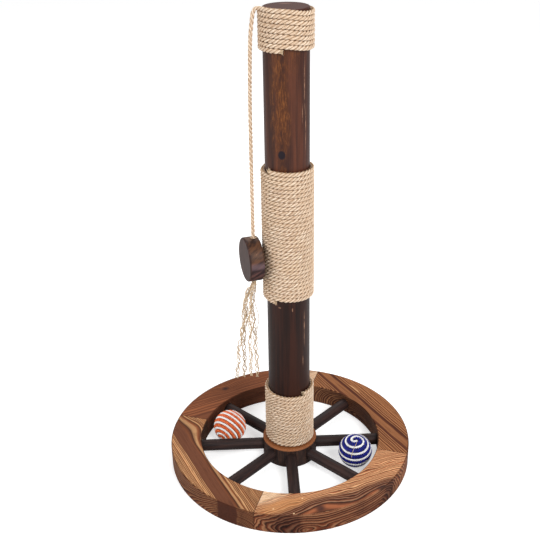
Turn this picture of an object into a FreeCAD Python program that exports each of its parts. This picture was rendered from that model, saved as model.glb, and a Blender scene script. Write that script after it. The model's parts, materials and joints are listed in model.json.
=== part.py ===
import FreeCAD, Part
import math
import os

import Sketcher
from FreeCAD import Placement, Rotation, Vector

# A cat scratching post, in millimetres. +Z is up, and the origin is the centre of the
# base on the floor. -Y is the front. The wheel-shaped base has a ring of four planks,
# eight spokes and a hub; the post stands on the hub and is wound with rope.

SIZES = {
    # Rim of the base: four mitred planks
    "rim_outer_radius": 200.0,
    "rim_width": 51.0,
    "rim_thickness": 35.0,
    "rim_edge_round": 2.0,
    "rim_joint_azimuth": -16.0,
    "rim_joint_gap_angle": 0.06,
    "dowel_radius": 4.0,
    "dowel_length": 40.0,
    "dowel_inset": 13.0,
    "dowel_clearance": 0.1,
    # Spokes and their sockets
    "spoke_radius": 9.5,
    "spoke_height": 17.5,
    "spoke_azimuth": 3.0,
    "spoke_count": 8.0,
    "spoke_chamfer": 1.0,
    "socket_depth": 15.0,
    "socket_clearance": 0.1,
    "socket_end_gap": 0.5,
    # Hub
    "hub_radius": 45.0,
    "hub_height": 35.0,
    "hub_chamfer": 2.5,
    "spigot_radius": 16.0,
    "spigot_length": 18.0,
    "spigot_clearance": 0.1,
    "spigot_end_gap": 0.5,
    "bolt_hole_radius": 4.5,
    "counterbore_radius": 12.0,
    "counterbore_depth": 8.0,
    # Post
    "post_foot_radius": 33.7,
    "post_top_radius": 32.5,
    "post_top": 741.0,
    "post_top_round": 1.5,
    # Bolt, washer and insert that hold the post to the hub
    "bolt_radius": 4.0,
    "bolt_length": 36.0,
    "bolt_head_radius": 7.5,
    "bolt_head_height": 5.3,
    "washer_radius": 10.0,
    "washer_thickness": 1.6,
    "insert_radius": 6.0,
    "insert_length": 25.0,
    "insert_depth": 30.0,
    "thread_clearance": 0.1,
    # Rope, and the stretches of the post that it is wound on
    "rope_radius": 3.0,
    "rope_turn_gap": 0.42,
    "rope_post_gap": 0.3,
    "top_wrap_drop": 0.7,
    "top_wrap_height": 52.8,
    "top_wrap_start_angle": -52.0,
    "top_wrap_end_angle": -12.0,
    "middle_wrap_start": 515.2,
    "middle_wrap_end": 307.0,
    "middle_wrap_angle": -43.0,
    "middle_wrap_meeting_angle": 180.0,
    "bottom_wrap_start": 137.0,
    "bottom_wrap_start_angle": 46.0,
    "bottom_wrap_end_angle": 150.0,
    # Wood disc on the hanging rope
    "disc_radius": 34.0,
    "disc_thickness": 23.0,
    "disc_round": 2.5,
    "disc_height": 371.0,
    "disc_facing": 198.0,
    "disc_hole_offset": 3.0,
    "disc_hole_clearance": 0.3,
    "hinge_clearance": 0.3,
    # Tassel
    "tassel_straight_run": 6.0,
    "bunch_radius": 1.3,
    "bunch_spacing": 2.7,
    "yarn_radius": 0.5,
    "yarn_offset": 2.7,
    # Wound balls, which rest on the floor
    "ball_radius": 28.0,
    "ball_cord_radius": 2.05,
    "orange_ball_cord_gap": 0.6,
    "blue_ball_cord_gap": 1.2,
    "ball_core_gap": 0.3,
    "orange_ball_rim_gap": 12.966,
    "orange_ball_spoke_gap": 0.642,
    "blue_ball_rim_gap": 6.429,
    "blue_ball_spoke_gap": 6.208,
}

RIM_INNER = "rim_outer_radius - rim_width"

# The side swing of the hanging rope turns about this point of its route.
SIDE_SWING_PIVOT = Vector(-48.6, -10.0, 700.0)

# The rope between the top wrap and the side swing, chosen by hand. It leaves the wrap
# straight, folds over towards the floor and ends just above the pivot.
BEND_ROUTE = [
    Vector(-39.0, -11.2, 740.8),
    Vector(-43.2, -10.1, 737.5),
    Vector(-44.7, -10.0, 732.0),
    Vector(-45.8, -10.0, 724.5),
    Vector(-47.2, -10.0, 714.0),
]

# The rope from the side swing to the disc; its last run goes straight through the disc.
HANGING_ROUTE = [
    Vector(-49.7, -10.0, 672.0),
    Vector(-51.4, -10.0, 612.0),
    Vector(-52.2, -10.0, 430.0),
]

# Tassel routes, chosen by hand, below the straight run that each has under the rope.
BUNCH_ROUTES = {
    "front_left": [
        Vector(-57.0, -11.8, 324.5), Vector(-63.0, -12.4, 317.0), Vector(-67.0, -13.5, 303.0),
        Vector(-68.0, -15.0, 288.0), Vector(-71.0, -16.5, 268.0), Vector(-73.0, -17.5, 247.0),
        Vector(-78.0, -18.0, 225.0), Vector(-80.0, -17.0, 200.0), Vector(-83.0, -18.0, 178.0),
        Vector(-83.5, -18.5, 160.0),
    ],
    "back_left": [
        Vector(-57.0, -8.3, 324.0), Vector(-62.0, -7.6, 316.0), Vector(-65.0, -7.0, 302.0),
        Vector(-67.5, -5.5, 281.0), Vector(-67.0, -4.0, 259.0), Vector(-71.5, -4.0, 236.0),
        Vector(-72.5, -3.0, 213.0), Vector(-71.5, -2.5, 190.0), Vector(-72.0, -3.0, 170.0),
        Vector(-75.0, -2.5, 152.0),
    ],
    "front_right": [
        Vector(-53.0, -12.6, 324.0), Vector(-57.0, -14.0, 315.0), Vector(-59.5, -15.2, 301.0),
        Vector(-59.0, -16.5, 284.0), Vector(-60.5, -18.5, 264.0), Vector(-60.5, -19.5, 243.0),
        Vector(-62.0, -20.0, 223.0), Vector(-60.0, -19.0, 203.0), Vector(-61.0, -20.0, 183.0),
        Vector(-62.5, -20.0, 165.0),
    ],
    "back_right": [
        Vector(-51.8, -8.2, 323.0), Vector(-54.5, -7.4, 312.0), Vector(-56.5, -6.6, 299.0),
        Vector(-57.5, -5.0, 280.0), Vector(-55.0, -4.0, 259.0), Vector(-53.5, -5.0, 236.0),
        Vector(-54.0, -4.0, 214.0), Vector(-52.0, -5.0, 192.0), Vector(-52.5, -4.0, 172.0),
        Vector(-51.0, -5.0, 153.0),
    ],
}

YARN_ROUTE = [
    Vector(-50.5, -11.0, 322.0), Vector(-52.3, -12.2, 309.0), Vector(-52.5, -12.8, 297.0),
    Vector(-50.0, -12.6, 286.0), Vector(-47.0, -12.2, 275.0), Vector(-46.5, -12.0, 262.0),
    Vector(-50.0, -11.0, 249.0), Vector(-51.0, -11.0, 236.0),
]

# The spoke that each ball lies beside, and the direction of its winding's first pole.
BALLS = {
    "orange": {"spoke": 5, "pole": Vector(-0.6125, -0.7181, -0.3303)},
    "blue": {"spoke": 1, "pole": Vector(0.02, -0.19, 0.98)},
}

PLANK_SIDES = ["right", "back", "left", "front"]
Y_AXIS = Vector(0, 1, 0)
Z_AXIS = Vector(0, 0, 1)

doc = FreeCAD.newDocument("ScratchingPost")
sub_parts = []


# ---------------------------------------------------------------- sizes and expressions

def make_sheet():
    """Write every driving size into the spreadsheet, one alias to a row."""
    sheet = doc.addObject("Spreadsheet::Sheet", "Sizes")
    for row, (alias, number) in enumerate(SIZES.items(), start=1):
        sheet.set(f"A{row}", alias)
        sheet.set(f"B{row}", str(number))
        sheet.setAlias(f"B{row}", alias)
    doc.recompute()
    return sheet


sizes = make_sheet()


def size(alias):
    """One size of the sheet, as a plain number."""
    return float(sizes.get(alias))


def amount(terms):
    """The value of a sum of sizes, such as 'hub_radius - hub_chamfer'."""
    total = 0.0
    sign = 1.0
    for term in terms.split():
        if term in "+-":
            sign = -1.0 if term == "-" else 1.0
        else:
            total += sign * (size(term) if term in SIZES else float(term))
    return total


def formula(terms):
    """The same sum as an expression on the sheet's cells."""
    return " ".join(f"Sizes.{term}" if term in SIZES else term for term in terms.split())


def bind(item, path, terms):
    item.setExpression(path, formula(terms))


# ---------------------------------------------------------------- bodies and features

def new_body(name):
    body = doc.addObject("PartDesign::Body", name)
    body.Label = name
    sub_parts.append(body)
    return body


def new_sketch(body, name, plane):
    sketch = body.newObject("Sketcher::SketchObject", name)
    sketch.AttachmentSupport = [(origin_feature(body, plane), "")]
    sketch.MapMode = "FlatFace"
    return sketch


def origin_feature(body, role):
    return next(item for item in body.Origin.OriginFeatures if item.Role == role)


def place_vertex(sketch, curve, end, name, across, along):
    """Hold one point of a sketch curve at sums of sizes from the sketch's two axes."""
    for kind, letter, terms, axis in (
        ("DistanceX", "x", across, -2),
        ("DistanceY", "y", along, -1),
    ):
        if terms == "0":
            sketch.addConstraint(Sketcher.Constraint("PointOnObject", curve, end, axis))
        else:
            constraint = Sketcher.Constraint(kind, -1, 1, curve, end, amount(terms))
            index = sketch.addConstraint(constraint)
            sketch.renameConstraint(index, f"{name}_{letter}")
            bind(sketch, f"Constraints.{name}_{letter}", terms)


def draw_outline(sketch, corners):
    """A closed outline; each corner is a pair of sums of sizes."""
    points = [Vector(amount(across), amount(along), 0) for across, along in corners]
    for index, point in enumerate(points):
        sketch.addGeometry(Part.LineSegment(point, points[(index + 1) % len(points)]))
    for index, (across, along) in enumerate(corners):
        following = (index + 1) % len(corners)
        sketch.addConstraint(Sketcher.Constraint("Coincident", index, 2, following, 1))
        place_vertex(sketch, index, 1, f"corner_{index}", across, along)


def draw_circle(sketch, name, across, along, radius):
    centre = Vector(amount(across), amount(along), 0)
    curve = sketch.addGeometry(Part.Circle(centre, Z_AXIS, amount(radius)))
    place_vertex(sketch, curve, 3, name, across, along)
    index = sketch.addConstraint(Sketcher.Constraint("Radius", curve, amount(radius)))
    sketch.renameConstraint(index, f"{name}_radius")
    bind(sketch, f"Constraints.{name}_radius", radius)


def revolve(body, sketch, angle="360"):
    turned = body.newObject("PartDesign::Revolution", f"{body.Name}_turned")
    turned.Profile = sketch
    turned.ReferenceAxis = (sketch, ["V_Axis"])
    bind(turned, "Angle", angle)
    doc.recompute()
    return turned


def pad(body, sketch, length):
    padded = body.newObject("PartDesign::Pad", f"{sketch.Name}_pad")
    padded.Profile = sketch
    bind(padded, "Length", length)
    doc.recompute()
    return padded


def pocket(body, sketch, length, both_ways=False):
    """Cut along the sketch's normal, or evenly to both sides of the sketch."""
    before = body.Shape.Volume
    cut = body.newObject("PartDesign::Pocket", f"{sketch.Name}_cut")
    cut.Profile = sketch
    bind(cut, "Length", length)
    if both_ways:
        cut.SideType = "Symmetric"
    else:
        cut.Reversed = True
    doc.recompute()
    if not body.Shape.Volume < before - 1.0:
        raise RuntimeError(f"{cut.Name} removes nothing")
    return cut


def repeat_round(body, feature, angle, count):
    """Repeat a feature about the body's Z axis."""
    pattern = body.newObject("PartDesign::PolarPattern", f"{feature.Name}_round")
    pattern.Originals = [feature]
    pattern.Axis = (origin_feature(body, "Z_Axis"), [""])
    bind(pattern, "Angle", angle)
    bind(pattern, "Occurrences", count)
    body.Tip = pattern
    doc.recompute()
    return pattern


def dress_edges(body, kind, wanted, amount_name, terms):
    """Round or chamfer the edges of the body's tip that a test picks out."""
    tip = body.Tip
    names = [f"Edge{n}" for n, edge in enumerate(tip.Shape.Edges, start=1) if wanted(edge)]
    if not names:
        raise RuntimeError(f"{body.Name} has no edge to dress")
    dressed = body.newObject(f"PartDesign::{kind}", f"{body.Name}_{kind.lower()}")
    dressed.Base = (tip, names)
    bind(dressed, amount_name, terms)
    body.Tip = dressed
    doc.recompute()
    return dressed


def is_circle(edge):
    return isinstance(edge.Curve, Part.Circle)


def is_top_circle(edge):
    return is_circle(edge) and abs(edge.Curve.Center.z - size("post_top")) < 0.01


# ---------------------------------------------------------------- base

def make_rim_plank(side, turn):
    """A quarter of the ring, with sockets for two spokes and dowel holes in both ends."""
    body = new_body(f"rim_plank_{side}")
    profile = new_sketch(body, f"{body.Name}_profile", "XZ_Plane")
    draw_outline(profile, [
        (RIM_INNER, "0"),
        ("rim_outer_radius", "0"),
        ("rim_outer_radius", "rim_thickness"),
        (RIM_INNER, "rim_thickness"),
    ])
    revolve(body, profile, "90 - rim_joint_gap_angle")
    dress_edges(body, "Fillet", is_circle, "Radius", "rim_edge_round")

    socket = new_sketch(body, f"{body.Name}_socket", "YZ_Plane")
    draw_circle(socket, "socket", "0", "spoke_height", "spoke_radius + socket_clearance")
    start_azimuth = size("rim_joint_azimuth") + size("rim_joint_gap_angle") / 2
    first_spoke = size("spoke_azimuth") - start_azimuth
    socket.AttachmentOffset = Placement(Vector(), Rotation(Y_AXIS, first_spoke))
    cut = pocket(body, socket, f"{RIM_INNER} + socket_depth")
    repeat_round(body, cut, "90 - 360 / spoke_count", "spoke_count / 4")

    holes = new_sketch(body, f"{body.Name}_dowel_holes", "XZ_Plane")
    hole_radius = "dowel_radius + dowel_clearance"
    draw_circle(holes, "inner", f"{RIM_INNER} + dowel_inset", "spoke_height", hole_radius)
    draw_circle(holes, "outer", "rim_outer_radius - dowel_inset", "spoke_height", hole_radius)
    cut = pocket(body, holes, "dowel_length + socket_end_gap", both_ways=True)
    repeat_round(body, cut, "90 - rim_joint_gap_angle", "2")
    body.Placement = Placement(Vector(), Rotation(Z_AXIS, start_azimuth + 90 * turn))


def make_rim_dowels():
    """Two dowels across each mitre joint, all in one group."""
    dowels = []
    radii = [f"{RIM_INNER} + dowel_inset", "rim_outer_radius - dowel_inset"]
    for joint in range(4):
        turn = Rotation(Z_AXIS, size("rim_joint_azimuth") + 90 * joint)
        for place, terms in enumerate(radii):
            dowel = doc.addObject("Part::Cylinder", f"dowel_{joint}_{place}")
            bind(dowel, "Radius", "dowel_radius")
            bind(dowel, "Height", "dowel_length")
            start = Vector(amount(terms), -size("dowel_length") / 2, size("spoke_height"))
            dowel.Placement = Placement(turn.multVec(start), turn * Rotation(Z_AXIS, Y_AXIS))
            dowels.append(dowel)
    group = doc.addObject("Part::Compound", "rim_joint_dowels")
    group.Label = group.Name
    group.Links = dowels
    sub_parts.append(group)


def spoke_azimuth(number):
    return size("spoke_azimuth") + 360.0 / size("spoke_count") * (number - 1)


def make_spoke(number):
    """A dowel from the hub's socket to the rim's, with eased ends."""
    body = new_body(f"spoke_{number}")
    section = new_sketch(body, f"{body.Name}_section", "YZ_Plane")
    draw_circle(section, "section", "0", "0", "spoke_radius")
    reach = f"{RIM_INNER} - hub_radius + socket_depth + socket_depth"
    pad(body, section, f"{reach} - socket_end_gap - socket_end_gap")
    dress_edges(body, "Chamfer", is_circle, "Size", "spoke_chamfer")
    turn = Rotation(Z_AXIS, spoke_azimuth(number))
    start = Vector(amount("hub_radius - socket_depth + socket_end_gap"), 0, size("spoke_height"))
    body.Placement = Placement(turn.multVec(start), turn)


def make_hub():
    """A turned hub: a bore on top for the post's spigot, a bolt hole from below."""
    body = new_body("hub")
    profile = new_sketch(body, "hub_profile", "XZ_Plane")
    bore_radius = "spigot_radius + spigot_clearance"
    bore_floor = "hub_height - spigot_length - spigot_end_gap"
    draw_outline(profile, [
        ("counterbore_radius", "0"),
        ("hub_radius", "0"),
        ("hub_radius", "hub_height - hub_chamfer"),
        ("hub_radius - hub_chamfer", "hub_height"),
        (bore_radius, "hub_height"),
        (bore_radius, bore_floor),
        ("bolt_hole_radius", bore_floor),
        ("bolt_hole_radius", "counterbore_depth"),
        ("counterbore_radius", "counterbore_depth"),
    ])
    revolve(body, profile)
    socket = new_sketch(body, "hub_socket", "YZ_Plane")
    draw_circle(socket, "socket", "0", "spoke_height", "spoke_radius + socket_clearance")
    bind(socket, ".AttachmentOffset.Base.z", "hub_radius - socket_depth")
    cut = pocket(body, socket, "hub_radius")
    repeat_round(body, cut, "360", "spoke_count")
    body.Placement = Placement(Vector(), Rotation(Z_AXIS, size("spoke_azimuth")))


def make_post():
    """The tapered post, with a spigot at its foot and a hole for the insert."""
    body = new_body("post")
    profile = new_sketch(body, "post_profile", "XZ_Plane")
    spigot_foot = "hub_height - spigot_length"
    hole_radius = "insert_radius + thread_clearance"
    draw_outline(profile, [
        (hole_radius, spigot_foot),
        ("spigot_radius", spigot_foot),
        ("spigot_radius", "hub_height"),
        ("post_foot_radius", "hub_height"),
        ("post_top_radius", "post_top"),
        ("0", "post_top"),
        ("0", f"{spigot_foot} + insert_depth"),
        (hole_radius, f"{spigot_foot} + insert_depth"),
    ])
    revolve(body, profile)
    dress_edges(body, "Fillet", is_top_circle, "Radius", "post_top_round")


def make_ring(name, outer, inner, length, foot):
    """A plain ring about the post's axis: its radii, its length and its foot's height."""
    body = new_body(name)
    profile = new_sketch(body, f"{name}_profile", "XZ_Plane")
    draw_outline(profile, [
        (inner, foot), (outer, foot), (outer, f"{foot} + {length}"), (inner, f"{foot} + {length}"),
    ])
    revolve(body, profile)


def make_post_bolt():
    """A hexagon-headed bolt from below, through the washer and into the insert."""
    body = new_body("hub_bolt")
    head = new_sketch(body, "hub_bolt_head", "XY_Plane")
    corners = []
    for corner in range(6):
        angle = math.radians(60 * corner)
        corners.append(Vector(math.cos(angle), math.sin(angle), 0) * size("bolt_head_radius"))
    for index, corner in enumerate(corners):
        head.addGeometry(Part.LineSegment(corner, corners[(index + 1) % 6]))
    for index in range(6):
        head.addConstraint(Sketcher.Constraint("Coincident", index, 2, (index + 1) % 6, 1))
    circle = head.addGeometry(Part.Circle(Vector(), Z_AXIS, size("bolt_head_radius")), True)
    head.addConstraint(Sketcher.Constraint("Coincident", circle, 3, -1, 1))
    for index in range(6):
        head.addConstraint(Sketcher.Constraint("PointOnObject", index, 1, circle))
    for index in range(5):
        head.addConstraint(Sketcher.Constraint("Equal", index, index + 1))
    head.addConstraint(Sketcher.Constraint("PointOnObject", 0, 1, -1))
    across = head.addConstraint(Sketcher.Constraint("Radius", circle, size("bolt_head_radius")))
    head.renameConstraint(across, "head_radius")
    bind(head, "Constraints.head_radius", "bolt_head_radius")
    head_foot = "counterbore_depth - washer_thickness - bolt_head_height"
    bind(head, ".AttachmentOffset.Base.z", head_foot)
    pad(body, head, "bolt_head_height")
    shank = new_sketch(body, "hub_bolt_shank", "XY_Plane")
    draw_circle(shank, "shank", "0", "0", "bolt_radius")
    bind(shank, ".AttachmentOffset.Base.z", head_foot)
    pad(body, shank, "bolt_head_height + bolt_length")


# ---------------------------------------------------------------- wound and free tubes

def add_piece(name, shape):
    piece = doc.addObject("Part::Feature", name)
    piece.Label = name
    piece.Shape = shape
    sub_parts.append(piece)
    return piece


def arc_edge(start, corner, end):
    """The arc that leaves start and reaches end along the two sides of its corner."""
    reach = (corner - start).Length
    cosine = (end - start).Length / (2 * reach)
    if cosine > 1 - 1e-9:
        return Part.LineSegment(start, end).toShape()
    middle = (start + corner * (2 * cosine) + end) * (1 / (2 + 2 * cosine))
    return Part.Arc(start, middle, end).toShape()


def biarc(start, start_way, end, end_way):
    """Two arcs from one station to the next, along the way that each one points."""
    span = end - start
    ways = start_way + end_way
    squared = ways.dot(ways) - 4
    linear = -2 * span.dot(ways)
    if abs(squared) < 1e-9:
        reach = -span.dot(span) / linear
    else:
        root = math.sqrt(linear * linear - 4 * squared * span.dot(span))
        reach = (-linear - root) / (2 * squared)
    first_corner = start + start_way * reach
    last_corner = end - end_way * reach
    joint = (first_corner + last_corner) * 0.5
    return [arc_edge(start, first_corner, joint), arc_edge(joint, last_corner, end)]


def sweep_tube(edges, radius):
    """A round tube along a chain of edges, whose volume is checked against its length."""
    path = Part.Wire(edges)
    start = edges[0].valueAt(edges[0].FirstParameter)
    way = edges[0].tangentAt(edges[0].FirstParameter)
    section = Part.Wire(Part.Circle(start, way, radius).toShape())
    tube = path.makePipeShell([section], True, False)
    expected = math.pi * radius * radius * path.Length
    if abs(tube.Volume / expected - 1) > 0.01:
        raise RuntimeError(f"a tube holds {tube.Volume:.0f}, its section swept {expected:.0f}")
    return tube


def least_self_gap(edges, radius, apart):
    """The least gap between stretches of a tube that lie further apart along it."""
    points = []
    run = 0.0
    for edge in edges:
        steps = max(2, int(edge.Length / radius) + 1)
        for point in edge.discretize(steps)[:-1]:
            points.append((run, point))
            run += edge.Length / (steps - 1)
    least = math.inf
    for index, (place, point) in enumerate(points):
        for other_place, other in points[index + 1:]:
            if other_place - place > apart:
                least = min(least, (other - point).Length)
    return least - 2 * radius


def wind(name, stations, radius, apart):
    """One unbroken tube through stations, each a point and the way that the tube runs."""
    edges = []
    for (start, start_way), (end, end_way) in zip(stations, stations[1:]):
        edges.extend(biarc(start, start_way, end, end_way))
    gap = least_self_gap(edges, radius, apart)
    length = sum(edge.Length for edge in edges)
    print(f"{name}: {length:.0f} mm of tube, least gap to itself {gap:.2f} mm")
    return add_piece(name, sweep_tube(edges, radius))


def post_radius(height):
    """The post's radius where it tapers from its foot to its top."""
    share = (height - size("hub_height")) / (size("post_top") - size("hub_height"))
    return size("post_foot_radius") + share * (size("post_top_radius") - size("post_foot_radius"))


def rope_station(angle, height, fall):
    """Point and way of a rope on the post; angles run from the front towards the right."""
    turn = math.radians(angle)
    radius = post_radius(height) + size("rope_post_gap") + size("rope_radius")
    point = Vector(radius * math.sin(turn), -radius * math.cos(turn), height)
    way = Vector(math.cos(turn), math.sin(turn), -fall / (2 * math.pi * radius))
    return point, way.normalize()


def wrap_fall(start, end, start_angle, end_angle):
    """The fall of one turn: as many whole turns as fit, plus the part of a turn."""
    height = start - end
    part_turn = (end_angle - start_angle) / 360.0
    least_fall = 2 * size("rope_radius") + size("rope_turn_gap")
    whole_turns = math.floor(height / least_fall - part_turn)
    return height / (whole_turns + part_turn), whole_turns


def wind_rope(name, start, fall, start_angle, turned):
    """A wrap from its start height, with a straight run of one diameter at both ends."""
    quarters = math.ceil(turned / 90.0)
    angles = [start_angle + turned * step / quarters for step in range(quarters + 1)]
    stations = []
    for angle in angles:
        height = start - fall * (angle - start_angle) / 360.0
        stations.append(rope_station(angle, height, fall))
    run = 2 * size("rope_radius")
    first, first_way = stations[0]
    last, last_way = stations[-1]
    stations.insert(0, (first - first_way * run, first_way))
    stations.append((last + last_way * run, last_way))
    half_turn = math.pi * post_radius(start)
    return wind(name, stations, size("rope_radius"), half_turn), stations


def make_top_wrap():
    """Wound from the post's top edge down; its upper end runs on into the bend."""
    start = amount("post_top - top_wrap_drop")
    angles = size("top_wrap_start_angle"), size("top_wrap_end_angle")
    fall, whole_turns = wrap_fall(start, start - size("top_wrap_height"), *angles)
    turned = 360 * whole_turns + angles[1] - angles[0]
    _, stations = wind_rope("rope_wrap_top", start, fall, angles[0], turned)
    exit_point, exit_way = stations[0]
    return exit_point, exit_way * -1


def make_middle_wrap():
    """One rope in two tubes, which meet face to face at the back of the post."""
    start = size("middle_wrap_start")
    angle = size("middle_wrap_angle")
    fall, whole_turns = wrap_fall(start, size("middle_wrap_end"), angle, angle)
    run_angle = math.degrees(2 * size("rope_radius") / post_radius(start))
    to_meeting = size("middle_wrap_meeting_angle") - angle
    upper = 360 * (whole_turns // 2 - 1) + to_meeting - run_angle
    wind_rope("rope_wrap_middle_upper", start, fall, angle, upper)
    lower_angle = angle + upper + 2 * run_angle
    lower_start = start - fall * (lower_angle - angle) / 360.0
    lower = 360 * whole_turns + angle - lower_angle
    wind_rope("rope_wrap_middle_lower", lower_start, fall, lower_angle, lower)


def make_bottom_wrap():
    """Wound down to the hub, with its lower end at the back."""
    start = size("bottom_wrap_start")
    angles = size("bottom_wrap_start_angle"), size("bottom_wrap_end_angle")
    end = amount("hub_height + rope_radius + rope_post_gap")
    fall, whole_turns = wrap_fall(start, end, *angles)
    turned = 360 * whole_turns + angles[1] - angles[0]
    wind_rope("rope_wrap_bottom", start, fall, angles[0], turned)


def lay_cord(name, route, radius):
    """A free cord: straight runs along its route, joined by the largest tangent arcs."""
    edges = []
    radii = []
    start = route[0]
    for before, corner, after in zip(route, route[1:], route[2:]):
        way_in = (corner - before).normalize()
        way_out = (after - corner).normalize()
        reach = 0.45 * min((corner - before).Length, (after - corner).Length)
        radii.append(reach / math.tan(way_in.getAngle(way_out) / 2))
        arc_start = corner - way_in * reach
        arc_end = corner + way_out * reach
        edges.append(Part.LineSegment(start, arc_start).toShape())
        edges.append(arc_edge(arc_start, corner, arc_end))
        start = arc_end
    edges.append(Part.LineSegment(start, route[-1]).toShape())
    length = sum(edge.Length for edge in edges)
    listed = " ".join(f"{value:.0f}" for value in radii)
    print(f"{name}: {length:.0f} mm long, radii {listed}")
    return sweep_tube(edges, radius)


def make_hanging_rope(exit_point, exit_way):
    """The rope from the top wrap to the tassel, in two pieces about the side swing."""
    radius = size("rope_radius")
    clearance = size("hinge_clearance")
    way_down = (SIDE_SWING_PIVOT - BEND_ROUTE[-1]).normalize()
    bend_end = SIDE_SWING_PIVOT - way_down * (radius + clearance)
    print("the rope leaves the top wrap at", exit_point, "towards", exit_way)
    bend = [exit_point, exit_point + exit_way * (2 * radius)] + BEND_ROUTE + [bend_end]
    add_piece("rope_bend", lay_cord("rope_bend", bend, radius))
    foot = Vector(HANGING_ROUTE[-1].x, HANGING_ROUTE[-1].y, disc_foot())
    hanging = [SIDE_SWING_PIVOT] + HANGING_ROUTE + [foot]
    tube = lay_cord("hanging_rope", hanging, radius)
    head = Part.makeSphere(radius, SIDE_SWING_PIVOT)
    add_piece("hanging_rope", tube.fuse(head).removeSplitter())
    return foot


def disc_foot():
    return size("disc_height") - size("disc_radius")


def make_wood_disc(rope_line):
    """A round block whose flat faces stand upright, with a hole across it for the rope."""
    body = new_body("wood_disc")
    face = new_sketch(body, "wood_disc_face", "XY_Plane")
    draw_circle(face, "face", "0", "0", "disc_radius")
    disc = pad(body, face, "disc_thickness")
    disc.SideType = "Symmetric"
    doc.recompute()
    dress_edges(body, "Fillet", is_circle, "Radius", "disc_round")
    hole = new_sketch(body, "wood_disc_hole", "XZ_Plane")
    draw_circle(hole, "hole", "0", "0 - disc_hole_offset", "rope_radius + disc_hole_clearance")
    pocket(body, hole, "disc_radius + disc_radius + 2", both_ways=True)
    facing = math.radians(size("disc_facing"))
    outward = Vector(math.cos(facing), math.sin(facing), 0)
    middle = Vector(rope_line.x, rope_line.y, size("disc_height"))
    middle += outward * size("disc_hole_offset")
    turn = Rotation(Z_AXIS.cross(outward), Z_AXIS, outward)
    body.Placement = Placement(middle, turn)


def make_tassel(foot):
    """The rope's unlaid end: four bunches and one stray yarn under the disc."""
    half = size("bunch_spacing") / 2
    for name, route in BUNCH_ROUTES.items():
        side = -half if "left" in name else half
        depth = -half if "front" in name else half
        start = foot + Vector(side, depth, 0)
        hang_yarn(f"tassel_{name}", start, route, size("bunch_radius"))
    start = foot + Vector(size("yarn_offset"), 0, 0)
    hang_yarn("tassel_yarn", start, YARN_ROUTE, size("yarn_radius"))


def hang_yarn(name, start, route, radius):
    straight_end = start - Z_AXIS * size("tassel_straight_run")
    add_piece(name, lay_cord(name, [start, straight_end] + route, radius))


# ---------------------------------------------------------------- wound balls

def spiral_plan(colour):
    """Flat plan of one of a ball's two cords, from the pole to the equator.

    The cord starts with a straight run beside the pole and goes round in half turns, each
    wider by the spacing of the cords, while the second cord lies half a turn behind it.
    The straight run parts the half turns sideways, less and less towards the equator.
    """
    centre_radius = amount("ball_radius - ball_cord_radius")
    quarter = centre_radius * math.pi / 2
    least_spacing = amount(f"ball_cord_radius + ball_cord_radius + {colour}_ball_cord_gap")
    half_turns = math.floor(quarter / least_spacing - 0.5)
    spacing = quarter / (half_turns + 0.5)
    parting = size("ball_cord_radius")
    plan = [
        (-parting, spacing / 2, 1, 0),
        (parting, spacing / 2, 1, 0),
    ]
    for half_turn in range(half_turns):
        side = 1 if half_turn % 2 == 0 else -1
        reach = (half_turn + 1) * spacing
        across = reach + parting * (1 - half_turn / (half_turns - 1))
        plan.append((side * across, -side * spacing / 2, 0, -side))
        plan.append((0, -side * (reach + spacing / 2), -side, 0))
    return plan, centre_radius


def on_sphere(place, radius):
    """Wrap one station of the plan onto a sphere whose pole is +Z."""
    across, along, way_across, way_along = place
    distance = math.hypot(across, along)
    polar = distance / radius
    outward = Vector(across / distance, along / distance, 0)
    around = Vector(-outward.y, outward.x, 0)
    point = (outward * math.sin(polar) + Z_AXIS * math.cos(polar)) * radius
    down = outward * math.cos(polar) - Z_AXIS * math.sin(polar)
    way = Vector(way_across, way_along, 0)
    turned = down * way.dot(outward) + around * (way.dot(around) * math.sin(polar) / polar)
    return point, turned.normalize()


def ball_stations(colour):
    """One cord from pole to pole: the second half is the first, turned over."""
    plan, radius = spiral_plan(colour)
    first_half = [on_sphere(place, radius) for place in plan]
    turn_over = Rotation(first_half[-1][0], 180)
    second_half = []
    for point, way in reversed(first_half[:-1]):
        second_half.append((turn_over.multVec(point), turn_over.multVec(way) * -1))
    return first_half + second_half


def ball_centre(colour, spoke):
    """On the floor in a bay of the wheel, at its gaps from the rim and from one spoke."""
    radius = size("ball_radius")
    from_axis = amount(RIM_INNER) - radius - size(f"{colour}_ball_rim_gap")
    reach = radius + size("spoke_radius") + size(f"{colour}_ball_spoke_gap")
    from_spoke = math.sqrt(reach ** 2 - (radius - size("spoke_height")) ** 2)
    azimuth = spoke_azimuth(spoke) - math.degrees(math.asin(from_spoke / from_axis))
    return Rotation(Z_AXIS, azimuth).multVec(Vector(from_axis, 0, radius))


def make_ball(colour, ball):
    """A round core with two cords wound side by side from pole to pole."""
    centre = ball_centre(colour, ball["spoke"])
    pole_turn = Rotation(Z_AXIS, ball["pole"])
    core = doc.addObject("Part::Sphere", f"{colour}_ball_core")
    core.Label = core.Name
    cord = "ball_cord_radius + ball_cord_radius"
    bind(core, "Radius", "ball_radius - ball_cord_radius - ball_cord_radius - ball_core_gap")
    core.Placement = Placement(centre, pole_turn)
    sub_parts.append(core)
    stations = ball_stations(colour)
    for cord_colour, start in ((colour, 0), ("white", 180)):
        piece = wind(f"{colour}_ball_cord_{cord_colour}", stations, size("ball_cord_radius"),
                     amount(cord) * math.pi)
        piece.Placement = Placement(centre, pole_turn * Rotation(Z_AXIS, start))


# ---------------------------------------------------------------- checks and files

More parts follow.
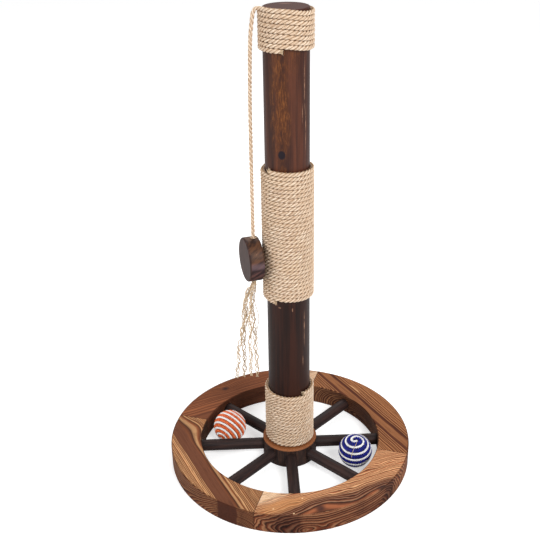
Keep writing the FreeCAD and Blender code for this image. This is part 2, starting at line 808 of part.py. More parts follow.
def check_document():
    for item in doc.Objects:
        if "Invalid" in item.State or "Error" in item.State:
            raise RuntimeError(f"{item.Name} failed: {item.State}")
    for piece in sub_parts:
        if piece.Shape.isNull() or not piece.Shape.isValid():
            raise RuntimeError(f"{piece.Label} has no valid shape")
        if not piece.Shape.Solids:
            raise RuntimeError(f"{piece.Label} holds no solid")


def write_parts():
    os.makedirs("parts", exist_ok=True)
    for piece in sub_parts:
        piece.Shape.exportStep(os.path.join("parts", f"{piece.Label}.step"))
    print(f"{len(sub_parts)} sub-parts written")


def main():
    for turn, side in enumerate(PLANK_SIDES):
        make_rim_plank(side, turn)
    make_rim_dowels()
    for number in range(1, int(size("spoke_count")) + 1):
        make_spoke(number)
    make_hub()
    make_post()
    make_ring("threaded_insert", "insert_radius", "bolt_radius + thread_clearance",
              "insert_length", "hub_height - spigot_length")
    make_ring("bolt_washer", "washer_radius", "bolt_radius + thread_clearance",
              "washer_thickness", "counterbore_depth - washer_thickness")
    make_post_bolt()
    exit_point, exit_way = make_top_wrap()
    make_middle_wrap()
    make_bottom_wrap()
    foot = make_hanging_rope(exit_point, exit_way)
    make_wood_disc(foot)
    make_tassel(foot)
    for colour, ball in BALLS.items():
        make_ball(colour, ball)
    doc.recompute()
    check_document()
    write_parts()


main()
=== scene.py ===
import json
from math import atan2, cos, degrees, pi, radians, sin, sqrt, tau

import bpy
import numpy as np
from mathutils import Matrix, Vector


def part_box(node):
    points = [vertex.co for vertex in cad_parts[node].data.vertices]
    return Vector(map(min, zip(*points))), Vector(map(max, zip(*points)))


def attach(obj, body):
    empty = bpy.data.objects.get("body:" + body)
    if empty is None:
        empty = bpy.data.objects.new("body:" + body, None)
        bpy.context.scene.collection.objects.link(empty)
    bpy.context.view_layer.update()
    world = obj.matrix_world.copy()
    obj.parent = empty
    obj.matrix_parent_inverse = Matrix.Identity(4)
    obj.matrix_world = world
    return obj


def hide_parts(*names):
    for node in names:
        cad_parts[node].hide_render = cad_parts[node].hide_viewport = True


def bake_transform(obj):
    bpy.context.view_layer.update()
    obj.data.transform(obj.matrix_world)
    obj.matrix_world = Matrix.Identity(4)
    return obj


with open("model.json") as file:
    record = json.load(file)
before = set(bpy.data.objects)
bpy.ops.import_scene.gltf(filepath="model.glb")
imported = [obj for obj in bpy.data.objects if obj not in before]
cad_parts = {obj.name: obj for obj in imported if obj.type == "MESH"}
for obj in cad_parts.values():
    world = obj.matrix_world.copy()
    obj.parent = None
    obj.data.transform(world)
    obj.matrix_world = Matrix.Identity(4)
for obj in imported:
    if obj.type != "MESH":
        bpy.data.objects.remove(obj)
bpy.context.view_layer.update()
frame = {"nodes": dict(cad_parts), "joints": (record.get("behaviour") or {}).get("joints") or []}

# Lengths are in metres. Angles on the post run from its front (-Y) towards the right (+X).
MM = 0.001
UP = Vector((0, 0, 1))
WHITE = (1, 1, 1, 1)


# ---- the frame's own sizes

def node_middle(node):
    low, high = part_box(node)
    return (low + high) / 2


JOINTS = {joint["name"]: joint for joint in frame["joints"]}
POST_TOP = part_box("post")[1].z
HUB_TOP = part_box("hub")[1].z
POST_FOOT_RADIUS = 33.7 * MM
POST_TOP_RADIUS = 32.5 * MM
ROPE_EXIT = Vector(JOINTS["toy_outward_swing"]["pos_m"])
ROPE_EXIT_WAY = Vector(JOINTS["toy_outward_swing"]["axis"])
SIDE_PIVOT = Vector(JOINTS["toy_side_swing"]["pos_m"])
DISC_FACING = Vector(JOINTS["toy_side_swing"]["axis"])
DISC_MIDDLE = node_middle("wood_disc")
DISC_THICKNESS = 23 * MM
FACE_DEPTH = DISC_MIDDLE.dot(DISC_FACING) + DISC_THICKNESS / 2


# ---- camera, light, floor

CAMERA_PLACE = Vector((0, -1.20792, 0.95292))
CAMERA_YAW = -0.0232
CAMERA_PITCH = 0.4655
CAMERA_ROLL = -0.0194
SENSOR_WIDTH = 36
PHOTO_SIZE = 540
FOCAL_PIXELS = 878.785
CAMERA_REACH = 20


def add_object(name, data):
    item = bpy.data.objects.new(name, data)
    bpy.context.scene.collection.objects.link(item)
    return item


def make_camera():
    """The photograph's viewpoint, fitted to the base's ellipses and the post's edges."""
    data = bpy.data.cameras.new("camera")
    data.sensor_width = SENSOR_WIDTH
    data.lens = FOCAL_PIXELS / PHOTO_SIZE * SENSOR_WIDTH
    data.clip_end = CAMERA_REACH
    camera = add_object("camera", data)
    camera.matrix_world = (
        Matrix.Translation(CAMERA_PLACE) @ Matrix.Rotation(-CAMERA_YAW, 4, "Z")
        @ Matrix.Rotation(pi / 2 - CAMERA_PITCH, 4, "X") @ Matrix.Rotation(CAMERA_ROLL, 4, "Z")
    )
    bpy.context.scene.camera = camera


# Each lamp's place, width and power: a key from the upper right front, a fill and a back light.
LAMPS = {
    "key": ((1.3, -1.9, 2), 1.1, 52),
    "fill": ((-2, -0.9, 1.3), 1.4, 19),
    "back": ((0.3, 2, 1.8), 1.4, 16),
}
LAMP_TARGET = Vector((0, 0, 0.35))
GLOW_COLOUR = (0.8, 0.8, 0.8, 1)
GLOW_STRENGTH = 0.68
FLOOR_REACH = 6
FLOOR_DROP = 0.2 * MM
FLOOR_COLOUR = (0.86, 0.86, 0.86, 1)
FLOOR_LIFT = 0.5


def light_scene():
    for name, (place, width, power) in LAMPS.items():
        data = bpy.data.lights.new(name, "AREA")
        data.shape = "SQUARE"
        data.size = width
        data.energy = power
        lamp = add_object(name, data)
        lamp.location = place
        lamp.rotation_euler = (LAMP_TARGET - Vector(place)).to_track_quat("-Z", "Y").to_euler()


def seen_directly(tree):
    """1 for what the camera sees, also through glass; 0 for the light on the object."""
    rays = [tree.add("LightPath", {}, f"Is {kind} Ray") for kind in ("Camera", "Transmission")]
    return tree.math("MAXIMUM", *rays)


def make_world():
    """An even glow on the object; what the camera sees of it is white."""
    world = bpy.data.worlds.new("studio")
    world.use_nodes = True
    world.node_tree.nodes.clear()
    tree = Tree(world.node_tree)
    glow = tree.add("Background", {"Color": GLOW_COLOUR, "Strength": GLOW_STRENGTH})
    white = tree.add("Background", {"Color": WHITE})
    seen = tree.add("MixShader", {0: seen_directly(tree), 1: glow, 2: white})
    tree.feed(seen, tree.nodes.new("ShaderNodeOutputWorld").inputs[0])
    bpy.context.scene.world = world


def make_floor():
    """A pale floor that keeps the object's shadow and is white to the camera elsewhere."""
    mesh = bpy.data.meshes.new("floor")
    corners = [(-1, -1, 0), (1, -1, 0), (1, 1, 0), (-1, 1, 0)]
    mesh.from_pydata([Vector(corner) * FLOOR_REACH for corner in corners], [], [(0, 1, 2, 3)])
    floor = add_object("floor", mesh)
    floor.location.z = -FLOOR_DROP
    pale = Finish("floor_white", roughness=0.9)
    pale.feed(WHITE, pale.inputs["Emission Color"])
    pale.feed(seen_directly(pale) * FLOOR_LIFT, pale.inputs["Emission Strength"])
    mesh.materials.append(pale.paint(FLOOR_COLOUR))


# ---- lines and frames

CURVE_RESOLUTION = 24


def smooth_line(name, route):
    """Points of the NURBS line whose control points are the route's."""
    curve = bpy.data.curves.new(name, "CURVE")
    curve.dimensions = "3D"
    curve.resolution_u = CURVE_RESOLUTION
    spline = curve.splines.new("NURBS")
    spline.points.add(len(route) - 1)
    for control, place in zip(spline.points, route):
        control.co = (*place, 1)
    spline.order_u = 3
    spline.use_endpoint_u = True
    holder = add_object(name, curve)
    bpy.context.view_layer.update()
    mesh = bpy.data.meshes.new_from_object(holder)
    points = np.array([vertex.co for vertex in mesh.vertices])
    bpy.data.meshes.remove(mesh)
    bpy.data.objects.remove(holder)
    bpy.data.curves.remove(curve)
    return points


def line_lengths(points):
    return np.concatenate([[0], np.cumsum(np.linalg.norm(np.diff(points, axis=0), axis=1))])


def even_line(points, step):
    """The same line with its points evenly spaced."""
    lengths = line_lengths(points)
    count = max(2, int(round(lengths[-1] / step)) + 1)
    places = np.linspace(0, lengths[-1], count)
    return np.stack([np.interp(places, lengths, points[:, axis]) for axis in range(3)], 1)


def unit(vectors):
    return vectors / np.linalg.norm(vectors, axis=-1, keepdims=True)


def squared(vectors, tangents):
    """The unit vectors square to the tangents that are nearest to the given ones."""
    return unit(vectors - tangents * np.sum(vectors * tangents, axis=-1, keepdims=True))


def across_frames(points, towards):
    """Tangents and two sides at each point, the first side nearest to the given way."""
    tangents = unit(np.gradient(points, axis=0))
    sides = squared(np.array(towards, float), tangents)
    return tangents, sides, np.cross(tangents, sides)


def carried_frames(points, first_side):
    """Tangents and two sides at each point, carried along the line without twisting."""
    tangents = unit(np.gradient(points, axis=0))
    sides = np.empty_like(points)
    side = np.array(first_side, float)
    for index, tangent in enumerate(tangents):
        side = squared(side, tangent)
        sides[index] = side
    return tangents, sides, np.cross(tangents, sides)


# ---- meshes of tubes

def tube_faces(rings, around, first=0):
    """Quads between rings of points, and a fan of triangles over each end's middle."""
    faces = []
    middle = first + rings * around
    last = first + (rings - 1) * around
    for low in range(first, last, around):
        for place in range(around):
            following = (place + 1) % around
            faces.append((low + place, low + following,
                          low + around + following, low + around + place))
    for place in range(around):
        following = (place + 1) % around
        faces.append((middle, first + following, first + place))
        faces.append((middle + 1, last + place, last + following))
    return faces


def tube_vertices(line, frames, along_side, along_other):
    """Rings of points about a line, then the line's two ends."""
    _, sides, others = frames
    rings = (line[:, None, :] + along_side[..., None] * sides[:, None, :]
             + along_other[..., None] * others[:, None, :])
    return np.concatenate([rings.reshape(-1, 3), line[:1], line[-1:]])


def add_piece(name, vertices, faces, groove, fibre, material):
    """A smooth mesh; each vertex has a groove depth and its place in the fibres."""
    mesh = bpy.data.meshes.new(name)
    mesh.from_pydata(vertices.tolist(), [], faces)
    layer = mesh.attributes.new("groove", "FLOAT", "POINT")
    layer.data.foreach_set("value", groove.astype(np.float32))
    layer = mesh.attributes.new("fibre", "FLOAT_VECTOR", "POINT")
    layer.data.foreach_set("vector", fibre.astype(np.float32).ravel())
    mesh.shade_smooth()
    mesh.materials.append(material)
    return add_object(name, mesh)


def belongs(piece, body, slot, *nodes):
    """The piece moves with a body and stands for the nodes; slot is not used."""
    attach(piece, body)
    if nodes:
        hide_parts(*nodes)


GROOVE_SHAPE = 1.6


def strand_outline(radius, strands, per_strand, fullness):
    """Angles, radii and groove depths of a laid rope's outline, strand by strand."""
    places = np.arange(strands * per_strand) / per_strand
    from_crown = places % 1 - 0.5
    across = from_crown * tau / strands
    strand_radius = radius / (1 + 1 / sin(pi / strands))
    centre = radius - strand_radius
    wide = strand_radius * fullness
    reach = np.sqrt(np.maximum(0, 1 - (centre * np.sin(across) / wide) ** 2))
    radii = centre * np.cos(across) + strand_radius * reach
    return places * tau / strands, radii, np.abs(2 * from_crown) ** GROOVE_SHAPE


SQUARENESS = 2.7
PRESSED_STRETCH = 0.05
FIBRE_STRETCH = 0.12
CONTACT_START = 0.72
CUT_END_SWELL = (0.75, 0.94, 1)
CAP_GROOVE = 0.5


def lay_rope(name, line, frames, twist, outline, material, press=0, widths=(1, 1),
             cut_ends=(True, True)):
    """A laid rope's surface along a line. twist is the strands' turn at each point.

    press is how far neighbours square the rope up, and widths stretch it along each side.
    """
    angles, radii, grooves = outline
    shape = (len(line), len(angles))
    swell = np.ones(len(line))
    for cut, order in zip(cut_ends, (slice(None), slice(None, None, -1))):
        if cut:
            swell[order][:3] = CUT_END_SWELL
    turned = angles[None, :] + twist[:, None]
    cosine, sine = np.cos(turned), np.sin(turned)
    pressed = np.broadcast_to(np.asarray(press, float), shape[:1])[:, None]
    square = (np.abs(cosine) ** SQUARENESS + np.abs(sine) ** SQUARENESS) ** (-1 / SQUARENESS)
    reach = radii[None, :] * swell[:, None] * (1 + pressed * (square - 1))
    along_side = reach * cosine * (1 + PRESSED_STRETCH * pressed) * widths[0]
    vertices = tube_vertices(line, frames, along_side, reach * sine * widths[1])
    # Pressed turns add their contact to the groove value, and each cut end's middle gets CAP_GROOVE.
    # The finishes darken by this value: painted shade in the grooves and between turns.
    contact = pressed * np.clip((np.abs(cosine) - CONTACT_START) / (1 - CONTACT_START), 0, 1)
    groove = np.maximum(np.broadcast_to(grooves, shape), contact)
    fibre = np.stack([np.broadcast_to(part / MM, shape) for part in (
        radii * np.cos(angles), radii * np.sin(angles), line_lengths(line)[:, None] * FIBRE_STRETCH,
    )], -1)
    groove = np.concatenate([groove.ravel(), [CAP_GROOVE, CAP_GROOVE]])
    fibre = np.concatenate([fibre.reshape(-1, 3), np.zeros((2, 3))])
    return add_piece(name, vertices, tube_faces(*shape), groove, fibre, material)


THREAD_END = (0.8, 0.45)
THREAD_SIDE = (0.31, 0.83, 0.46)
THREAD_FIBRE_STRETCH = 0.4
THREAD_FIBRE_STEP = 3.7


def make_threads(name, lines, radii, material, around, tones=None):
    """Many thin threads in one mesh; each narrows towards its end. A tone darkens a thread."""
    vertices, faces, fibres, shades = [], [], [], []
    first = 0
    angles = np.arange(around) * tau / around
    for number, (line, radius) in enumerate(zip(lines, radii)):
        taper = np.ones((len(line), 1))
        taper[-2:, 0] = THREAD_END
        reach = radius * taper
        frames = carried_frames(line, THREAD_SIDE)
        vertices.append(tube_vertices(line, frames, reach * np.cos(angles), reach * np.sin(angles)))
        faces.extend(tube_faces(len(line), around, first))
        along = np.repeat(line_lengths(line) / MM * THREAD_FIBRE_STRETCH, around)
        across = np.full(len(along), number * THREAD_FIBRE_STEP)
        place = np.stack([across, np.tile(angles, len(line)), along], 1)
        fibres.append(np.concatenate([place, place[:1], place[-1:]]))
        shades.append(np.full(len(place) + 2, tones[number] if tones else 0))
        first += len(vertices[-1])
    vertices, shades, fibres = [np.concatenate(part) for part in (vertices, shades, fibres)]
    return add_piece(name, vertices, faces, shades, fibres, material)


# ---- rope

ROPE_RADIUS = 3 * MM
WRAP_RADIUS = 3.2 * MM
ROPE_POST_GAP = 0.25 * MM
ROPE_LAY = 20 * MM
ROPE_STEP = 1.25 * MM
ROPE_OUTLINE = strand_outline(ROPE_RADIUS, 3, 8, 1.2)
WRAP_OUTLINE = strand_outline(WRAP_RADIUS, 3, 8, 1.32)

# The wraps, in the part's own sizes: first height, fall of a turn, first angle, turning.
TOP_WRAP = (740.3 * MM, 6.51 * MM, -52, 8 * 360 + 40)
MIDDLE_WRAP = (515 * MM, 6.506 * MM, -44, 32 * 360 + 10)
BOTTOM_WRAP = (137 * MM, 6.456 * MM, 38, 15 * 360 + 120)

# The free rope's route, as the part has it, from the top wrap to the disc's foot.
ROPE_STRAIGHT_RUN = 6 * MM
BEND_ROUTE = [
    (-39, -11.2, 740.8), (-43.2, -10.1, 737.5), (-44.7, -10, 732),
    (-45.8, -10, 724.5), (-47.2, -10, 714),
]
HANGING_ROUTE = [(-49.7, -10, 672), (-51.4, -10, 612), (-52.2, -10, 430)]
ROPE_CUT_ABOVE_PIVOT = 12 * MM
PRESS_FADE = 8 * MM


def metres(route):
    return [Vector(place) * MM for place in route]


ROPE_FOOT = Vector((HANGING_ROUTE[-1][0] * MM, HANGING_ROUTE[-1][1] * MM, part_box("wood_disc")[0].z))


def post_radius(height):
    share = (height - HUB_TOP) / (POST_TOP - HUB_TOP)
    return POST_FOOT_RADIUS + share * (POST_TOP_RADIUS - POST_FOOT_RADIUS)


# In the top wrap each turn lies nearly level and steps down at the post's right front.
JOG_START = -12
JOG_END = 62
JOG_FALL = 5 * MM


def jogged_fall(turns, fall, first_angle):
    whole, part = np.divmod(turns, 1)
    share = np.clip((part * 360 + first_angle - JOG_START) / (JOG_END - JOG_START), 0, 1)
    jog = share * share * (3 - 2 * share) * JOG_FALL
    return whole * fall + jog + part * (fall - JOG_FALL)


def wrap_line(start, fall, first_angle, turned, jogged=False):
    """The line of a rope wound down the post."""
    turn_length = tau * (POST_FOOT_RADIUS + WRAP_RADIUS)
    turns = np.linspace(0, turned / 360, int(turned / 360 * turn_length / ROPE_STEP))
    heights = start - (jogged_fall(turns, fall, first_angle) if jogged else turns * fall)
    radii = post_radius(heights) + ROPE_POST_GAP + WRAP_RADIUS
    angles = radians(first_angle) + turns * tau
    return np.stack([radii * np.sin(angles), -radii * np.cos(angles), heights], 1)


def rope_twist(line):
    """Left-handed lay: the strands turn backwards along the rope, now tighter, now looser."""
    places = line_lengths(line)
    uneven = 0.55 * np.sin(places / (27 * MM)) + 0.4 * np.sin(places / (9.7 * MM) + 1)
    return -tau * places / ROPE_LAY + uneven


# A frayed fibre's reach, flare and curl are shares; the other sizes are lengths.
FRAY_REACH = (0.45, 1)
FRAY_FLARE = (0.05, 0.38)
FRAY_CURL = (-0.22, 0.22)
FRAY_FIBRE_RADII = (0.12 * MM, 0.3 * MM)
FRAY_SUNK = 1.5 * MM
FUZZ_REACH = (2.5 * MM, 6 * MM)
FUZZ_LIFT = (0.15, 0.5)
FUZZ_RADIUS = 0.07 * MM
FUZZ_START = 0.92


def fray(name, place, way, radius, count, reach, seed, material, droop=0):
    """The loose fibres of a cut rope's end."""
    rng = np.random.default_rng(seed)
    way = np.array(Vector(way).normalized())
    side = unit(np.cross(way, (0.2, 0.1, 1)))
    other = np.cross(way, side)
    share = np.linspace(0, 1, 7)[:, None]
    lines, radii = [], []
    for _ in range(count):
        angle = rng.uniform(0, tau)
        out = cos(angle) * side + sin(angle) * other
        from_middle = sqrt(rng.uniform(0, 1)) * radius
        length = reach * rng.uniform(*FRAY_REACH)
        flare = rng.uniform(*FRAY_FLARE)
        curl = rng.uniform(*FRAY_CURL)
        lines.append(
            np.array(place) + out * from_middle - way * FRAY_SUNK
            + way * length * share * (1 - 0.25 * flare * share)
            + (out * flare + np.cross(way, out) * curl) * length * share ** 2
            - np.array(UP) * droop * share ** 2
        )
        radii.append(rng.uniform(*FRAY_FIBRE_RADII))
    return make_threads(name, lines, radii, material, 4)


def fuzz(name, line, frames, count, seed, material):
    """Short fibres that stand off a wrap's surface."""
    rng = np.random.default_rng(seed)
    tangents, sides, others = frames
    share = np.linspace(0, 1, 4)[:, None]
    lines = []
    for _ in range(count):
        place = rng.integers(2, len(line) - 2)
        angle = rng.uniform(0, tau)
        out = cos(angle) * sides[place] + sin(angle) * others[place]
        length = rng.uniform(*FUZZ_REACH)
        lift = rng.uniform(*FUZZ_LIFT)
        start = line[place] + out * WRAP_RADIUS * FUZZ_START
        lean = tangents[place] * rng.choice((-1, 1)) + np.cross(tangents[place], out) * 0.4
        lines.append(start + lean * length * share + out * lift * length * share ** 1.5)
    return make_threads(name, lines, [FUZZ_RADIUS] * count, material, 3)


def top_and_free_line():
    """The top wrap and the free rope as one line, and how many of its points are wound."""
    wrap = wrap_line(*TOP_WRAP, jogged=True)[::-1]
    run_on = np.array(ROPE_EXIT) - wrap[-1]
    steps = max(2, int(np.linalg.norm(run_on) / ROPE_STEP))
    joined = [wrap[-1] + run_on * step / steps for step in range(1, steps)]
    start = [ROPE_EXIT, ROPE_EXIT + ROPE_EXIT_WAY * ROPE_STRAIGHT_RUN]
    route = start + metres(BEND_ROUTE) + [SIDE_PIVOT] + metres(HANGING_ROUTE) + [ROPE_FOOT]
    free = even_line(smooth_line("free_rope", route), ROPE_STEP)
    return np.concatenate([wrap, joined, free]), len(wrap) + len(joined)


def make_top_rope(sisal):
    """The top wrap, the bend and the hanging rope, cut where the joints are."""
    line, exit_ring = top_and_free_line()
    wrap_frames = across_frames(line[:exit_ring + 1], UP)
    free_frames = carried_frames(line[exit_ring:], wrap_frames[1][-1])
    frames = [np.concatenate([w[:-1], f]) for w, f in zip(wrap_frames, free_frames)]
    twist = rope_twist(line)
    places = line_lengths(line)
    press = np.clip((places[exit_ring] - places) / PRESS_FADE, 0, 1)
    below_cut = line[:, 2] < SIDE_PIVOT.z + ROPE_CUT_ABOVE_PIVOT
    cut_ring = int(np.argmax(below_cut & (np.arange(len(line)) > exit_ring)))

    def stretch(name, first, last, outline, cut_ends):
        part = slice(first, last + 1)
        return lay_rope(name, line[part], [f[part] for f in frames], twist[part], outline,
                        sisal, press[part], cut_ends=cut_ends)

    top = stretch("top_rope", 0, exit_ring, WRAP_OUTLINE, (True, False))
    belongs(top, "root", "sisal", "rope_wrap_top")
    bend = stretch("bend_rope", exit_ring, cut_ring, ROPE_OUTLINE, (False, False))
    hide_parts("rope_bend")
    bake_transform(bend)
    hanging = stretch("hanging_rope_laid", cut_ring, len(line) - 1, ROPE_OUTLINE, (False, True))
    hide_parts("hanging_rope")
    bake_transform(hanging)
    return line[:exit_ring + 1], [f[:exit_ring + 1] for f in frames]


def make_wrap(title, sizes, nodes, sisal):
    line = wrap_line(*sizes)
    frames = across_frames(line, UP)
    rope = lay_rope(f"{title}_rope", line, frames, rope_twist(line), WRAP_OUTLINE, sisal, press=1)
    belongs(rope, "root", "sisal", *nodes)
    return line, frames


FUZZ_COUNTS = {"top": 260, "middle": 700, "bottom": 360}

# Each wrap's frayed ends: which end of its line, then the fibres' count, reach and droop.
FRAYS = [
    ("top_end_fray", "top", 0, 90, 6, 0.4),
    ("middle_upper_fray", "middle", 0, 60, 6, -3),
    ("middle_lower_fray", "middle", -1, 50, 5, 1),
    ("bottom_upper_fray", "bottom", 0, 50, 4.5, -0.4),
    ("bottom_lower_fray", "bottom", -1, 40, 4, 0.3),
]
FRAY_WIDTH = WRAP_RADIUS * 0.8


def make_ropes(sisal, yarn):
    """The rope wraps and the free rope, with fibres at their cut ends and along the wraps."""
    middle_nodes = ["rope_wrap_middle_upper", "rope_wrap_middle_lower"]
    wraps = {
        "top": make_top_rope(sisal),
        "middle": make_wrap("middle", MIDDLE_WRAP, middle_nodes, sisal),
        "bottom": make_wrap("bottom", BOTTOM_WRAP, ["rope_wrap_bottom"], sisal),
    }
    for seed, (name, title, end, count, reach, droop) in enumerate(FRAYS, start=1):
        line = wraps[title][0]
        way = line[end] - line[3 if end == 0 else -4]
        piece = fray(name, line[end], way, FRAY_WIDTH, count, reach * MM, seed, yarn, droop * MM)
        belongs(piece, "root", "sisal")
    for seed, (title, (line, frames)) in enumerate(wraps.items(), start=11):
        piece = fuzz(f"{title}_fuzz", line, frames, FUZZ_COUNTS[title], seed, yarn)
        belongs(piece, "root", "sisal")


# ---- tassel

# Routes of the four bunches and the stray yarn below the disc, as the part has them.
BUNCH_ROUTES = {
    "front_left": [
        (-57, -11.8, 324.5), (-63, -12.4, 317), (-67, -13.5, 303), (-68, -15, 288), (-71, -16.5, 268),
        (-73, -17.5, 247), (-78, -18, 225), (-80, -17, 200), (-83, -18, 178), (-83.5, -18.5, 160),
    ],
    "back_left": [
        (-57, -8.3, 324), (-62, -7.6, 316), (-65, -7, 302), (-67.5, -5.5, 281), (-67, -4, 259),
        (-71.5, -4, 236), (-72.5, -3, 213), (-71.5, -2.5, 190), (-72, -3, 170), (-75, -2.5, 152),
    ],
    "front_right": [
        (-53, -12.6, 324), (-57, -14, 315), (-59.5, -15.2, 301), (-59, -16.5, 284), (-60.5, -18.5, 264),
        (-60.5, -19.5, 243), (-62, -20, 223), (-60, -19, 203), (-61, -20, 183), (-62.5, -20, 165),
    ],
    "back_right": [
        (-51.8, -8.2, 323), (-54.5, -7.4, 312), (-56.5, -6.6, 299), (-57.5, -5, 280), (-55, -4, 259),
        (-53.5, -5, 236), (-54, -4, 214), (-52, -5, 192), (-52.5, -4, 172), (-51, -5, 153),
    ],
}
YARN_ROUTE = [
    (-50.5, -11, 322), (-52.3, -12.2, 309), (-52.5, -12.8, 297),
    (-50, -12.6, 286), (-47, -12.2, 275), (-46.5, -12, 262),
    (-50, -11, 249), (-51, -11, 236),
]
TASSEL_STRAIGHT_RUN = 6 * MM
TASSEL_STEP = 1.1 * MM
BUNCH_SPACING = 2.7 * MM
YARN_OFFSET = 2.7 * MM
STRAY_RADIUS = 0.5 * MM
LOOSENING_RUN = 25 * MM
YARN_KINK = 0.85 * MM
DEPTH_SHARE = 0.5
CURL_RUN = 9 * MM
CURL_REACH = 2 * MM
WANDER_RUN = (34, 60)
KINK_RUN = (9, 14)

# Of the thick yarns of a bunch all but the last run its whole length.
THICK_YARNS = 4
THICK_SWAY = (2, 2.8)
THICK_RADII = (0.55, 0.7)
THIN_YARNS = 4
THIN_SWAY = (2.2, 2.9)
THIN_RADIUS = 0.18 * MM
YARN_TONES = (0, 0.75)
TUFT_OFFSET = 3.2 * MM


def tassel_line(name, offset, route):
    start = ROPE_FOOT + Vector(offset)
    control = [start, start - UP * TASSEL_STRAIGHT_RUN] + metres(route)
    return even_line(smooth_line(name, control), TASSEL_STEP)


def wavy_yarn(line, rng, sway, share):
    """A line that winds round another, with a small curl at its end."""
    count = int(len(line) * share)
    tangents, sides, others = carried_frames(line, (1, 0, 0))
    places = line_lengths(line)
    loosened = 0.35 + 0.65 * np.clip(places / LOOSENING_RUN, 0, 1)
    end_share = np.clip((places - places[count - 1] + CURL_RUN) / CURL_RUN, 0, 1)
    loosened = loosened * (1 - 0.5 * end_share)
    phases = rng.uniform(0, tau, 4)
    wander = places / (rng.uniform(*WANDER_RUN) * MM) * tau
    kink = places / (rng.uniform(*KINK_RUN) * MM) * tau
    first = loosened * (sway * np.sin(wander + phases[0]) + YARN_KINK * np.sin(kink + phases[1]))
    second = loosened * (sway * np.cos(wander + phases[2]) + YARN_KINK * np.cos(kink + phases[3]))
    first = first + CURL_REACH * rng.choice((-1, 1)) * end_share ** 2
    wavy = line + sides * first[:, None] + others * second[:, None] * DEPTH_SHARE
    wavy = wavy - tangents * (CURL_REACH / 5 * end_share ** 3)[:, None]
    return wavy[:count]


def make_bunch(name, line, rng, yarn):
    lines, radii = [], []
    for thick in range(THICK_YARNS):
        share = 1 if thick < THICK_YARNS - 1 else rng.uniform(0.9, 0.98)
        lines.append(wavy_yarn(line, rng, rng.uniform(*THICK_SWAY) * MM, share))
        radii.append(rng.uniform(*THICK_RADII) * MM)
    for _ in range(THIN_YARNS):
        lines.append(wavy_yarn(line, rng, rng.uniform(*THIN_SWAY) * MM, rng.uniform(0.5, 1)))
        radii.append(THIN_RADIUS)
    tones = rng.uniform(*YARN_TONES, len(lines)).tolist()
    return make_threads(name, lines, radii, yarn, 6, tones)


def hang_yarn(piece, node):
    belongs(piece, "hanging_toy", "pale_yarn", node)


def make_tassel(yarn):
    half = BUNCH_SPACING / 2
    for seed, (name, route) in enumerate(BUNCH_ROUTES.items(), start=40):
        offset = (-half if "left" in name else half, -half if "front" in name else half, 0)
        line = tassel_line(name, offset, route)
        bunch = make_bunch(f"bunch_{name}", line, np.random.default_rng(seed), yarn)
        hang_yarn(bunch, f"tassel_{name}")
    line = tassel_line("stray", (YARN_OFFSET, 0, 0), YARN_ROUTE)
    # The stray yarn's tone of 1 darkens all of it: painted shade on a thin pale yarn.
    stray = make_threads("stray_yarn", [line], [STRAY_RADIUS], yarn, 6, [1])
    hang_yarn(stray, "tassel_yarn")
    head = Vector((*ROPE_FOOT.xy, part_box("wood_disc")[1].z))
    for seed, side in ((61, -1), (62, 1)):
        place = head + DISC_FACING * side * TUFT_OFFSET
        way = DISC_FACING * side + UP * 1.2
        tuft = fray(f"disc_tuft_{seed}", place, way, 1 * MM, 22, 4.5 * MM, seed, yarn)
        belongs(tuft, "hanging_toy", "sisal")


# ---- wound balls

BALL_RADIUS = 28 * MM
BALL_CORD_RADIUS = 2.05 * MM
PLY_LAY = 5.6 * MM
PLY_OUTLINE = strand_outline(1 * MM, 2, 7, 1.3)
BALL_STEP = 0.5 * MM
SPIRAL_POINTS = 1400
SPIRAL_START = -0.45

# Each ball's pole, the half turns from it to the equator and the widths of its two cords.
BALLS = {
    "orange": (Vector((-0.6125, -0.7181, -0.3303)), 8, {"orange": 2.85, "white": 2.1}),
    "blue": (Vector((0.02, -0.19, 0.98)), 7, {"blue": 3.5, "white": 2.1}),
}

# The thread that ties the blue ball, as directions from the ball's middle, and its knot.
THREAD_WAYS = [
    (0.05, -0.36, 0.93), (0.011, -0.481, 0.877), (-0.101, -0.655, 0.749),
    (-0.251, -0.843, 0.475), (-0.307, -0.943, 0.131),
]
THREAD_RADIUS = 0.32 * MM
THREAD_STEP = 0.8 * MM
KNOT_WAY = (-0.28, -0.878, 0.388)
KNOT_RADIUS = 0.6 * MM


def ball_spiral(half_turns):
    """One cord from pole to equator on a ball about the origin whose pole is +Z."""
    radius = BALL_RADIUS - BALL_CORD_RADIUS
    spacing = radius * pi / 2 / (half_turns + 0.5)
    turned = np.linspace(SPIRAL_START, half_turns * pi, SPIRAL_POINTS)
    reach = spacing / 2 + spacing * turned / pi
    parting = BALL_CORD_RADIUS * (1 - turned / (half_turns * pi))
    across = np.sin(turned) * (reach + parting)
    along = np.cos(turned) * reach
    distance = np.hypot(across, along)
    polar = distance / radius
    level = np.sin(polar) / distance
    return np.stack([across * level, along * level, np.cos(polar)], 1) * radius


def ball_line(half_turns):
    """The whole cord: its second half is the first, turned over about the equator's end."""
    first = ball_spiral(half_turns)
    turn_over = np.array(Matrix.Rotation(pi, 3, Vector(first[-1])))
    second = (first @ turn_over.T)[::-1][1:]
    return even_line(np.concatenate([first, second]), BALL_STEP)


def make_ball(name, pole, half_turns, widths, finishes):
    centre = np.array(node_middle(f"{name}_ball_core"))
    turn = np.array(UP.rotation_difference(pole).to_matrix())
    for cord, width in widths.items():
        half_turned = (-1, -1, 1) if cord == "white" else (1, 1, 1)
        line = (ball_line(half_turns) * np.array(half_turned)) @ turn.T
        frames = across_frames(line, unit(line))
        twist = tau * line_lengths(line) / PLY_LAY
        piece = lay_rope(f"{name}_ball_{cord}_winding", line + centre, frames, twist, PLY_OUTLINE,
                         finishes[cord], widths=(BALL_CORD_RADIUS / MM, width))
        belongs(piece, f"{name}_ball", f"{cord}_cord", f"{name}_ball_cord_{cord}")


